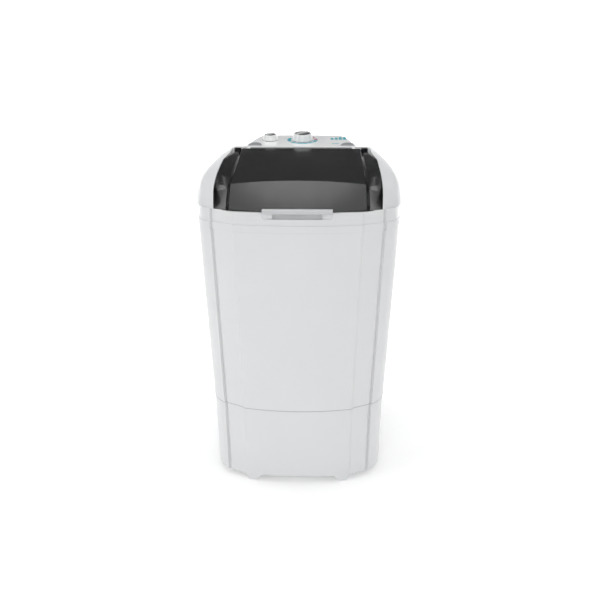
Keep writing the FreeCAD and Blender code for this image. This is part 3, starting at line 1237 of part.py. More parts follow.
cover = plate("rear_cover", [("-cover_half_width", "cover_foot"), ("cover_half_width", "cover_foot"),
                             ("cover_half_width", "cover_top"), ("-cover_half_width", "cover_top")],
              "cover_thickness", "XZ_Plane")
drill(cover, [("%.3f" % x, "%.3f" % z, "2.2") for x, z in cover_screw_points()], "XZ_Plane")
place(cover, "0", "body_rear + cover_thickness + 0.1", "0")
screws = []
for x, z in cover_screw_points():
    face = back + v("cover_thickness") + 0.1
    screws.append(cylinder(1.75, Vec(x, back - 8, z), Vec(x, face, z)).fuse(
        cylinder(4.0, Vec(x, face, z), Vec(x, face + 2.2, z))))
shaped("cover_screws", Part.makeCompound(screws))
hook_foot = v("cabinet_top - hook_below")
hook_half = v("hook_half_width")
hook_back = back + v("hook_reach")
hook = box(-hook_half, hook_half, back + 0.1, back + 3.1, hook_foot, hook_foot + v("hook_height"))
hook = hook.fuse([box(-hook_half, hook_half, back + 0.1, hook_back, hook_foot, hook_foot + 3),
                  box(-hook_half, hook_half, hook_back - 3, hook_back, hook_foot, hook_foot + 22)])
shaped("hose_hook", hook.translated(Vec(drain_x, 0, 0)))

# ---------------------------------------------------------------- lint filter on the front wall of the tub
filter_y = v("tub_along - tub_half_depth + filter_offset")
filter_back = filter_y + v("filter_depth")
filter_top = v("tub_rim - filter_below")
filter_foot = filter_top - v("filter_height")
filter_half = v("filter_half_width")
net_half = filter_half - 6.0
frame_outer = box(-filter_half, filter_half, filter_y, filter_back, filter_foot, filter_top)
frame_hole = box(-net_half, net_half, filter_y - 1, filter_back - 3, filter_foot + 6, filter_top - 10)
window_hole = box(-filter_half + 12, filter_half - 12, filter_y - 1, filter_back + 6, filter_foot + 14,
                  filter_top - 20)
shaped("filter_frame", frame_outer.cut(frame_hole).cut(window_hole))
net = box(-net_half + 0.2, net_half - 0.2, filter_back - 5.2, filter_back - 3.1, filter_foot + 6.2,
          filter_top - 10.2)
holes = []
for x in range(-34, 32, 11):
    for z in range(18, 124, 11):
        holes.append(box(x, x + 5, filter_y, filter_back + 6, filter_foot + z, filter_foot + z + 5))
shaped("filter_net", net.cut(Part.makeCompound(holes)))
rails = []
for x in (-filter_half - 3.5, filter_half + 0.3):
    rail = box(x, x + 3.2, filter_y - 40, filter_back - 2, filter_foot - 5, filter_top - 10)
    rails.append(rail.common(tub_hollow()))
shaped("filter_rails", Part.makeCompound(rails))

document.recompute()
os.makedirs("parts", exist_ok=True)
faults = []
for item in document.Objects:
    if "Invalid" in item.State or "Error" in item.State:
        faults.append("%s is %s" % (item.Label, item.State))
for item in sub_parts:
    if item.Shape.isNull() or not item.Shape.isValid() or not item.Shape.Solids:
        faults.append("%s has no valid shape" % item.Label)
    else:
        item.Shape.exportStep("parts/%s.step" % item.Label)
        print("%-22s %2d solid(s)  %10.0f mm3" % (item.Label, len(item.Shape.Solids), item.Shape.Volume))
if faults:
    raise RuntimeError("; ".join(faults))
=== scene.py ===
"""Looks of the top load wash machine: finishes, trim, prints, studio and camera."""

import json
import logging
import math
from dataclasses import dataclass
from enum import Enum
from typing import ClassVar, Sequence

import bmesh
import bpy
from mathutils import Matrix, Vector

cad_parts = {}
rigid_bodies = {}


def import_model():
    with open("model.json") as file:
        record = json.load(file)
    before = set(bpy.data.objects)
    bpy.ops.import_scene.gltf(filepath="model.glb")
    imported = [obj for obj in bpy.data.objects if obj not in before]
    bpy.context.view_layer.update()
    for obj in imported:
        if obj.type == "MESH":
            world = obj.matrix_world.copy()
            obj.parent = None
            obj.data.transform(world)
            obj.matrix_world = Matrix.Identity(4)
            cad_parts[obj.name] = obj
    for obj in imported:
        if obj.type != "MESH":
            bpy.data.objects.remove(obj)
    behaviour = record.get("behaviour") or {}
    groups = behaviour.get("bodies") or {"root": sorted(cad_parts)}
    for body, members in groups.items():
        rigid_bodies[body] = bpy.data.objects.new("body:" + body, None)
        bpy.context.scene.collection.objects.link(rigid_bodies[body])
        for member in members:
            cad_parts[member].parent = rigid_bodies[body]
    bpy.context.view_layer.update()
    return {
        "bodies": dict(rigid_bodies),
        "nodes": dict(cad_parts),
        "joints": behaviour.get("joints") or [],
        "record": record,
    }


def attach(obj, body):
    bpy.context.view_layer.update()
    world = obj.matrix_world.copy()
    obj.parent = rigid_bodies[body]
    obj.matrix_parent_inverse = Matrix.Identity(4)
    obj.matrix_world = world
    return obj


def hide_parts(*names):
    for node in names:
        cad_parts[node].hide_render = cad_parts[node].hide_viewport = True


logging.basicConfig(level=logging.INFO, format="%(message)s")
LOG = logging.getLogger("wash_machine")
MM = 0.001
# vertices nearer than this, in metres, are one vertex
WELD = 1e-7
# edges sharper than this are rounded, in radians
SHARP = math.radians(35)

Point = tuple[float, float, float]
Flat = tuple[float, float]


# ------------------------------------------------------------------ small helpers
def srgb(code: str) -> tuple[float, float, float, float]:
    """Turn an sRGB hex colour into linear light.

    Args:
        code: six hex digits, with or without a leading hash.

    Returns:
        Linear red, green, blue and an alpha of one.
    """
    digits = code.lstrip("#")
    parts = [int(digits[i:i + 2], 16) / 255.0 for i in (0, 2, 4)]
    linear = [p / 12.92 if p <= 0.04045 else ((p + 0.055) / 1.055) ** 2.4 for p in parts]
    return (linear[0], linear[1], linear[2], 1.0)


def add_node(tree: bpy.types.NodeTree, kind: str, settings: dict | None = None,
             inputs: dict | None = None) -> bpy.types.Node:
    """Add one shader node, set its properties, and fill or link its inputs.

    Args:
        tree: the node tree that gets the node.
        kind: the node's class name.
        settings: property names and values.
        inputs: socket names or numbers, each with a value or an output socket to link.

    Returns:
        The new node.
    """
    node = tree.nodes.new(kind)
    for name, value in (settings or {}).items():
        setattr(node, name, value)
    for name, value in (inputs or {}).items():
        if isinstance(value, bpy.types.NodeSocket):
            tree.links.new(value, node.inputs[name])
        else:
            node.inputs[name].default_value = value
    return node


def mesh_object(name: str, bm: bmesh.types.BMesh, smooth: bool = True) -> bpy.types.Object:
    """Turn a bmesh into a linked object.

    Args:
        name: name of the object and its mesh.
        bm: the geometry, freed here.
        smooth: whether faces are shaded smooth.

    Returns:
        The new object.
    """
    mesh = bpy.data.meshes.new(name)
    bmesh.ops.recalc_face_normals(bm, faces=bm.faces)
    for face in bm.faces:
        face.smooth = smooth
    bm.to_mesh(mesh)
    bm.free()
    obj = bpy.data.objects.new(name, mesh)
    bpy.context.scene.collection.objects.link(obj)
    return obj


def ring_profile(inner: float, outer: float, low: float, thick: float, chamfer: float) -> list[Flat]:
    """Section of a rib that stands round a cylinder.

    Args:
        inner: radius at its root, in millimetres.
        outer: radius at its crest, in millimetres.
        low: lower level, in millimetres.
        thick: thickness at its root, in millimetres.
        chamfer: how much the crest is thinner on each side, in millimetres.

    Returns:
        Radius and height corners, in metres.
    """
    corners = ((inner, low), (outer, low + chamfer), (outer, low + thick - chamfer), (inner, low + thick))
    return [(radius * MM, height * MM) for radius, height in corners]


def lathe(bm: bmesh.types.BMesh, profile: Sequence[Flat], steps: int, place: Matrix) -> None:
    """Turn a closed profile about Z into a ring.

    Args:
        bm: the mesh that gets the faces.
        profile: radius and height corners, in metres.
        steps: faces round the axis.
        place: where the piece goes.
    """
    rings = []
    for i in range(steps):
        turn = 2 * math.pi * i / steps
        corners = [(radius * math.cos(turn), radius * math.sin(turn), height) for radius, height in profile]
        rings.append([bm.verts.new(place @ Vector(corner)) for corner in corners])
    count = len(profile)
    for i in range(steps):
        a, b = rings[i], rings[(i + 1) % steps]
        for j in range(count):
            k = (j + 1) % count
            bm.faces.new((a[j], b[j], b[k], a[k]))
    bmesh.ops.remove_doubles(bm, verts=bm.verts, dist=WELD)


def slab(bm: bmesh.types.BMesh, outline: Sequence[Flat], low: float, high: float,
         place: Matrix) -> None:
    """Extrude a closed plan outline between two heights.

    Args:
        bm: the mesh that gets the faces.
        outline: x and y corners in order, in metres.
        low: lower height, in metres.
        high: upper height, in metres.
        place: where the piece goes.
    """
    lower = [bm.verts.new(place @ Vector((x, y, low))) for x, y in outline]
    upper = [bm.verts.new(place @ Vector((x, y, high))) for x, y in outline]
    count = len(outline)
    bm.faces.new(lower[::-1])
    bm.faces.new(upper)
    for i in range(count):
        k = (i + 1) % count
        bm.faces.new((lower[i], lower[k], upper[k], upper[i]))


def soften(obj: bpy.types.Object, width: float, segments: int = 2) -> None:
    """Round the sharp edges of a piece.

    Args:
        obj: the piece.
        width: bevel width in metres.
        segments: bevel segments.
    """
    bevel = obj.modifiers.new("edge_round", "BEVEL")
    bevel.width = width
    bevel.segments = segments
    bevel.limit_method = "ANGLE"
    bevel.angle_limit = SHARP


# ------------------------------------------------------------------ finishes
def per_metre(size_mm: float) -> float:
    """Texture scale of a pattern with a real size.

    Args:
        size_mm: width of one patch of the pattern, in millimetres.

    Returns:
        Patches per metre.
    """
    return 1.0 / (size_mm * MM)


def start_material(name: str) -> tuple[bpy.types.Material, bpy.types.Node, bpy.types.NodeSocket]:
    """Start a node material.

    Args:
        name: material name.

    Returns:
        The material, its surface shader and the piece's own coordinates.
    """
    mat = bpy.data.materials.new(name)
    mat.use_nodes = True
    shader = mat.node_tree.nodes["Principled BSDF"]
    where = add_node(mat.node_tree, "ShaderNodeTexCoord").outputs["Object"]
    return mat, shader, where


class Grain(Enum):
    """How a moulded surface was textured in its tool: spread of roughness, then strength of relief."""

    POLISHED = (0.02, 0.01)
    SATIN = (0.05, 0.03)
    SPARK = (0.10, 0.12)

    @property
    def spread(self) -> float:
        """Give the drift of roughness to either side of the finish's own.

        Returns:
            The drift.
        """
        return self.value[0]

    @property
    def relief(self) -> float:
        """Give the strength of the tool's relief.

        Returns:
            The bump strength.
        """
        return self.value[1]


@dataclass(frozen=True)
class Moulded:
    """Injection moulded thermoplastic: even colour, faint flow variation and fine tool texture."""

    name: str
    colour: str
    roughness: float
    grain: Grain = Grain.SATIN
    ior: float = 1.49
    coat: float = 0.0
    tint_spread: float = 0.02
    flow_mm: float = 166.67
    grit_mm: float = 0.8
    relief_mm: float = 0.1
    coat_roughness: float = 0.08

    def build(self) -> bpy.types.Material:
        """Make the material.

        Returns:
            The node material.
        """
        mat, shader, where = start_material(self.name)
        tree = mat.node_tree
        # slow drift of the melt across a large moulding, decimetre wide patches
        flow = add_node(tree, "ShaderNodeTexNoise", inputs={
            "Vector": where, "Scale": per_metre(self.flow_mm), "Detail": 3.0})
        base = srgb(self.colour)
        low = tuple(c * (1 - self.tint_spread) for c in base[:3]) + (1.0,)
        high = tuple(min(1.0, c * (1 + self.tint_spread)) for c in base[:3]) + (1.0,)
        tone = add_node(tree, "ShaderNodeMix", {"data_type": "RGBA"},
                        {"Factor": flow.outputs["Fac"], "A": low, "B": high})
        tree.links.new(tone.outputs["Result"], shader.inputs["Base Color"])
        # grit of the tool, drawn no finer than shows at arm's length
        grit = add_node(tree, "ShaderNodeTexNoise", inputs={
            "Vector": where, "Scale": per_metre(self.grit_mm), "Detail": 2.0})
        gloss = add_node(tree, "ShaderNodeMapRange", inputs={
            "Value": grit.outputs["Fac"], "To Min": self.roughness - self.grain.spread,
            "To Max": self.roughness + self.grain.spread})
        tree.links.new(gloss.outputs["Result"], shader.inputs["Roughness"])
        bump = add_node(tree, "ShaderNodeBump", inputs={
            "Height": grit.outputs["Fac"], "Strength": self.grain.relief, "Distance": self.relief_mm * MM})
        tree.links.new(bump.outputs["Normal"], shader.inputs["Normal"])
        shader.inputs["IOR"].default_value = self.ior
        shader.inputs["Coat Weight"].default_value = self.coat
        shader.inputs["Coat Roughness"].default_value = self.coat_roughness
        return mat


@dataclass(frozen=True)
class SmokedClear:
    """Smoked clear sheet: dark, see-through, glossy, with a faint haze in the gloss."""

    name: str
    colour: str
    cover: float
    roughness: float
    ior: float
    haze_mm: float = 111.11
    mirror: float = 0.8
    clearest: float = 0.6
    haziest: float = 1.6

    def build(self) -> bpy.types.Material:
        """Make the material.

        Returns:
            The node material.
        """
        mat, shader, where = start_material(self.name)
        tree = mat.node_tree
        haze = add_node(tree, "ShaderNodeTexNoise", inputs={
            "Vector": where, "Scale": per_metre(self.haze_mm), "Detail": 4.0})
        gloss = add_node(tree, "ShaderNodeMapRange", inputs={
            "Value": haze.outputs["Fac"], "To Min": self.roughness * self.clearest,
            "To Max": self.roughness * self.haziest})
        tree.links.new(gloss.outputs["Result"], shader.inputs["Roughness"])
        shader.inputs["Base Color"].default_value = srgb(self.colour)
        shader.inputs["IOR"].default_value = self.ior
        shader.inputs["Alpha"].default_value = self.cover
        shader.inputs["Specular IOR Level"].default_value = self.mirror
        return mat


@dataclass(frozen=True)
class Metal:
    """Bare or plated metal: turned, rolled or cast, with streaks that follow how it was made."""

    name: str
    colour: str
    roughness: float
    streak_mm: float = 6.0
    stretch: tuple[float, float, float] = (1.0, 1.0, 12.0)
    dullest: float = 0.8
    smoothest: float = 0.75
    roughest: float = 1.3

    def build(self) -> bpy.types.Material:
        """Make the material.

        Returns:
            The node material.
        """
        mat, shader, where = start_material(self.name)
        tree = mat.node_tree
        stretched = add_node(tree, "ShaderNodeMapping", inputs={"Vector": where, "Scale": self.stretch})
        streak = add_node(tree, "ShaderNodeTexNoise", inputs={
            "Vector": stretched.outputs["Vector"], "Scale": per_metre(self.streak_mm), "Detail": 5.0})
        base = srgb(self.colour)
        dull = tuple(c * self.dullest for c in base[:3]) + (1.0,)
        tone = add_node(tree, "ShaderNodeMix", {"data_type": "RGBA"},
                        {"Factor": streak.outputs["Fac"], "A": dull, "B": base})
        tree.links.new(tone.outputs["Result"], shader.inputs["Base Color"])
        gloss = add_node(tree, "ShaderNodeMapRange", inputs={
            "Value": streak.outputs["Fac"], "To Min": self.roughness * self.smoothest,
            "To Max": self.roughness * self.roughest})
        tree.links.new(gloss.outputs["Result"], shader.inputs["Roughness"])
        shader.inputs["Metallic"].default_value = 1.0
        return mat


@dataclass(frozen=True)
class Rubber:
    """Vulcanised rubber: dark, matt, with a bloom of pale dust and a fine pebble."""

    name: str
    colour: str = "#1b1b1c"
    roughness: float = 0.75
    ior: float = 1.52
    bloom_mm: float = 16.667
    pebble_mm: float = 0.7143
    relief: float = 0.15
    relief_mm: float = 0.1
    dust_gain: float = 1.8
    dust_base: float = 0.01

    def build(self) -> bpy.types.Material:
        """Make the material.

        Returns:
            The node material.
        """
        mat, shader, where = start_material(self.name)
        tree = mat.node_tree
        bloom = add_node(tree, "ShaderNodeTexNoise", inputs={
            "Vector": where, "Scale": per_metre(self.bloom_mm), "Detail": 4.0})
        base = srgb(self.colour)
        dusty = tuple(min(1.0, c * self.dust_gain + self.dust_base) for c in base[:3]) + (1.0,)
        tone = add_node(tree, "ShaderNodeMix", {"data_type": "RGBA"},
                        {"Factor": bloom.outputs["Fac"], "A": base, "B": dusty})
        tree.links.new(tone.outputs["Result"], shader.inputs["Base Color"])
        pebble = add_node(tree, "ShaderNodeTexVoronoi", inputs={
            "Vector": where, "Scale": per_metre(self.pebble_mm)})
        bump = add_node(tree, "ShaderNodeBump", inputs={
            "Height": pebble.outputs["Distance"], "Strength": self.relief, "Distance": self.relief_mm * MM})
        tree.links.new(bump.outputs["Normal"], shader.inputs["Normal"])
        shader.inputs["Roughness"].default_value = self.roughness
        shader.inputs["IOR"].default_value = self.ior
        return mat


@dataclass(frozen=True)
class PadPrint:
    """Pad printed ink: thin, even and slightly satin, with a trace of mottling."""

    name: str
    colour: str
    roughness: float = 0.42
    mottle_mm: float = 1.1111
    fade: float = 0.06

    def build(self) -> bpy.types.Material:
        """Make the material.

        Returns:
            The node material.
        """
        mat, shader, where = start_material(self.name)
        tree = mat.node_tree
        mottle = add_node(tree, "ShaderNodeTexNoise", inputs={
            "Vector": where, "Scale": per_metre(self.mottle_mm), "Detail": 2.0})
        base = srgb(self.colour)
        pale = tuple(c + (1.0 - c) * self.fade for c in base[:3]) + (1.0,)
        tone = add_node(tree, "ShaderNodeMix", {"data_type": "RGBA"},
                        {"Factor": mottle.outputs["Fac"], "A": base, "B": pale})
        tree.links.new(tone.outputs["Result"], shader.inputs["Base Color"])
        shader.inputs["Roughness"].default_value = self.roughness
        return mat


class Finishes:
    """Every finish of the machine, built once and shared."""

    def __init__(self) -> None:
        """Build the materials."""
        # gloss ABS: clean white shell that mirrors the studio softly
        self.shell = Moulded("abs_gloss_white", "#d9dadb", 0.30, Grain.SATIN, coat=0.3).build()
        # polished ABS: the brighter console and knobs
        self.trim = Moulded("abs_polished_white", "#dddede", 0.20, Grain.POLISHED, coat=0.4).build()
        # fine spark eroded ABS: the hand grip, a shade below the gloss shells
        self.grip = Moulded("abs_satin_grip", "#c3c4c6", 0.38, Grain.SPARK).build()
        # polypropylene: milky tub and impeller, waxy gloss
        self.tub = Moulded("polypropylene_white", "#e2e4e4", 0.42, Grain.SATIN, ior=1.50,
                           tint_spread=0.03).build()
        # smoked styrene acrylic: nearly black from in front, with softly blurred reflections
        self.smoke = SmokedClear("acrylic_smoked", "#050506", cover=0.80, roughness=0.15, ior=1.55).build()
        # satin ABS: charcoal knob caps
        self.cap = Moulded("abs_charcoal", "#1d1e21", 0.30, Grain.SATIN).build()
        # textured ABS: mid grey hinge caps, back cover and hook
        self.grey = Moulded("abs_grey", "#9a9b9d", 0.45, Grain.SPARK).build()
        # glass filled nylon: dull dark housings
        self.dark = Moulded("nylon_glass_filled", "#4a4b4e", 0.55, Grain.SPARK, tint_spread=0.06).build()
        # soft vinyl: pale grey hose, slightly waxy
        self.hose = Moulded("vinyl_hose_grey", "#a4a7aa", 0.40, Grain.SATIN).build()
        # polyester net and its frame: bluish white
        self.net = Moulded("polyester_net", "#dfe3e8", 0.6, Grain.SPARK).build()
        # vulcanised rubber: feet, belt and seals in dusty black
        self.rubber = Rubber("epdm_rubber").build()
        # ground steel shafts: bright, tight streaks round the bar
        self.steel = Metal("steel_ground", "#b9babc", 0.22).build()
        # zinc plated steel: slightly blue, softer shine
        self.zinc = Metal("steel_zinc_plated", "#c4c6c4", 0.36, 12.0, (1.0, 1.0, 1.0)).build()
        # die cast aluminium: pale and dull
        self.cast = Metal("aluminium_die_cast", "#c9cacc", 0.5, 15.0, (1.0, 1.0, 1.0)).build()
        # oil filled bronze bushes: brown gold, dull
        self.bronze = Metal("bronze_sintered", "#a67c45", 0.45, 8.0, (1.0, 1.0, 1.0)).build()
        # baked enamel on the motor's lamination stack
        self.enamel = Moulded("enamel_black", "#17181a", 0.35, Grain.SPARK, ior=1.52).build()
        # aluminium can under a white sleeve
        self.sleeve = Moulded("pvc_sleeve_white", "#dcdbd3", 0.38, Grain.SATIN).build()
        # pad printed inks: teal scale and bars, magenta end of the scale, grey small print
        self.teal = PadPrint("ink_teal", "#0a8b9a").build()
        self.magenta = PadPrint("ink_magenta", "#90184f").build()
        self.ink_grey = PadPrint("ink_grey", "#a3a6aa").build()
        # painted shade: flat shadow grey standing in for the shade of the shallow recess round each corner
        # cap
        self.recess_shade = PadPrint("painted_recess_shade_grey", "#74777a").build()
        # painted shadow: dull mid grey strip standing in for the shadow line in the joints between the
        # shells
        self.joint = Moulded("joint_shadow_grey", "#a9abae", 0.8, Grain.SPARK).build()


# ------------------------------------------------------------------ sub-assemblies
class SubAssembly:
    """Share of the machine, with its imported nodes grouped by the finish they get."""

    groups: ClassVar[dict[str, tuple[str, ...]]] = {}

    def dress(self, frame: dict, finishes: Finishes) -> None:
        """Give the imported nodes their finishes.

        Args:
            finishes: the shared finishes.
        """
        for finish, names in self.groups.items():
            material = getattr(finishes, finish)
            for name in names:
                obj = frame["nodes"][name]
                if not obj.material_slots:
                    obj.data.materials.append(material)
                for slot in obj.material_slots:
                    slot.material = material
            LOG.info("%s: %s on %s", type(self).__name__, finish, ", ".join(names))


class Shells(SubAssembly):
    """Base, cabinet, top frame, back cover and feet."""

    groups = {
        "shell": ("base_skirt", "cabinet_shell", "top_frame"),
        "grey": ("rear_cover", "hose_hook"),
        "rubber": ("rubber_feet", "cable_gland", "inner_cable"),
        "zinc": ("cover_screws",),
    }


class Drive(SubAssembly):
    """Tub, impeller, bearings, pulleys, belt, motor, lint filter and drain."""

    groups = {
        "tub": ("wash_tub", "impeller"),
        "steel": ("drive_shaft", "motor_rotor", "motor_shaft"),
        "zinc": ("impeller_screw", "housing_bolts", "pulley_nut", "motor_bolts", "capacitor_strap",
                 "motor_bracket"),
        "cast": ("driven_pulley", "motor_pulley", "motor_lower_cap", "motor_upper_cap"),
        "bronze": ("lower_bush", "upper_bush"),
        "rubber": ("shaft_seal", "drive_belt", "motor_grommets"),
        "enamel": ("motor_stator",),
        "sleeve": ("run_capacitor",),
        "dark": ("bearing_housing", "drain_fitting"),
        "hose": ("drain_hose", "drain_spigot"),
        "net": ("filter_frame", "filter_net", "filter_rails"),
    }


class Lid(SubAssembly):
    """Smoked lid with its grip and hinge pins."""

    groups = {
        "smoke": ("lid_panel",),
        "grip": ("lid_handle",),
        "steel": ("hinge_pin_left", "hinge_pin_right"),
    }


@dataclass
class Console(SubAssembly):
    """Tilted panel with its print, both knobs and the parts under it, in millimetres and degrees."""

    groups = {
        "trim": ("console_panel", "console_housing", "timer_knob", "selector_knob", "timer_pointer",
                 "selector_pointer"),
        "cap": ("timer_knob_cap", "selector_knob_cap"),
        "grey": ("hinge_cap_left", "hinge_cap_right"),
        "dark": ("timer_unit", "selector_switch"),
        "steel": ("timer_spindle", "selector_spindle"),
    }

    tilt: float = 9.0
    panel_front: float = 142.5
    panel_level: float = 979.5
    panel_top: float = 7.5
    panel_half: float = 178.0
    # the printed ring round the timer knob; its arcs are a name, a first and a last angle
    dial_along: float = 81.0
    dial_across: float = 3.0
    ring_inner: float = 39.5
    ring_outer: float = 51.0
    arc_step: float = 4.0
    teal_arcs: tuple[tuple[str, float, float], ...] = (
        ("left", 152, 206), ("front_a", 218, 243), ("front_b", 246, 292), ("front_c", 295, 318),
        ("right", 324, 356))
    magenta_arcs: tuple[tuple[str, float, float], ...] = (("end", 2, 18), ("dot", 33, 46))
    # a row of rising bars at the right, with one short bar in front of it
    capacity_across: float = 102.0
    capacity_along: float = 84.0
    capacity_pitch: float = 14.0
    capacity_wide: float = 10.0
    capacity_heights: tuple[float, ...] = (22.0, 27.0, 32.0, 37.0)
    note_at: Flat = (112.0, 34.0)
    note_size: Flat = (22.0, 6.0)
    # short lines beside both knobs
    lines_at: tuple[Flat, ...] = ((66, 116), (70, 96), (72, 76), (66, 56), (-60, 104), (-62, 60), (-72, 40))
    line_size: Flat = (20.0, 3.0)
    # half oval of painted shade behind each corner cap, standing in for the shaded recess
    recess_shade_across: float = 23.5
    recess_shade_along: float = 44.0
    recess_shade_inset: float = 26.2
    recess_shade_foot: float = 5.0
    recess_shade_steps: int = 32
    ink_gap: float = 0.01
    ink: float = 0.12

    def to_machine(self) -> Matrix:
        """Find where the panel's own slope sits in the machine.

        Returns:
            Matrix from the slope, in metres, to the machine.
        """
        return Matrix.Translation((0, self.panel_front * MM, self.panel_level * MM)) @ Matrix.Rotation(
            math.radians(self.tilt), 4, "X")

    def patch(self, name: str, points: Sequence[Flat], material: bpy.types.Material) -> None:
        """Print one flat patch on the panel.

        Args:
            name: piece name.
            points: corners in millimetres on the panel's slope.
            material: the ink.
        """
        bm = bmesh.new()
        outline = [(x * MM, y * MM) for x, y in points]
        slab(bm, outline, (self.panel_top + self.ink_gap) * MM, (self.panel_top + self.ink) * MM,
             self.to_machine())
        obj = mesh_object(name, bm, smooth=False)
        obj.data.materials.append(material)
        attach(obj, "machine")
        LOG.info("%s printed", name)

    def arc(self, name: str, start: float, end: float, material: bpy.types.Material) -> None:
        """Print one arc of the dial ring.

        Args:
            name: piece name.
            start: first angle in degrees, anticlockwise from the right.
            end: last angle in degrees.
            material: the ink.
        """
        steps = max(4, int(abs(end - start) / self.arc_step))
        turns = [math.radians(start + (end - start) * i / steps) for i in range(steps + 1)]
        points = [(self.dial_across + radius * math.cos(turn), self.dial_along + radius * math.sin(turn))
                  for radius, run in ((self.ring_outer, turns), (self.ring_inner, turns[::-1]))
                  for turn in run]
        self.patch(name, points, material)

    def bar(self, name: str, at: Flat, size: Flat, material: bpy.types.Material) -> None:
        """Print one small bar.

        Args:
            name: piece name.
            at: its middle, across and along the slope, in millimetres.
            size: its width and depth, in millimetres.
            material: the ink.
        """
        corners = ((-0.5, -0.5), (0.5, -0.5), (0.5, 0.5), (-0.5, 0.5))
        self.patch(name, [(at[0] + u * size[0], at[1] + v * size[1]) for u, v in corners], material)

    def build(self, finishes: Finishes) -> None:
        """Print the panel.

        Args:
            finishes: the shared finishes.
        """
        for name, start, end in self.teal_arcs:
            self.arc("print_ring_" + name, start, end, finishes.teal)
        for name, start, end in self.magenta_arcs:
            self.arc("print_ring_" + name, start, end, finishes.magenta)
        for i, deep in enumerate(self.capacity_heights):
            middle = (self.capacity_across + self.capacity_pitch * i, self.capacity_along + deep / 2)
            self.bar("print_capacity_%d" % i, middle, (self.capacity_wide, deep), finishes.teal)
        self.bar("print_note", self.note_at, self.note_size, finishes.teal)
        for i, middle in enumerate(self.lines_at):
            self.bar("print_line_%d" % i, middle, self.line_size, finishes.ink_grey)
        # painted shade: flat grey half ovals where the recesses round the corner caps lie in shade
        turns = [math.pi * i / self.recess_shade_steps for i in range(self.recess_shade_steps + 1)]
        for side, name in ((-1, "left"), (1, "right")):
            across = side * (self.panel_half - self.recess_shade_inset)
            oval = [(across + self.recess_shade_across * math.cos(turn),
                     self.recess_shade_foot + self.recess_shade_along * math.sin(turn)) for turn in turns]
            self.patch("corner_recess_shade_" + name, oval, finishes.recess_shade)


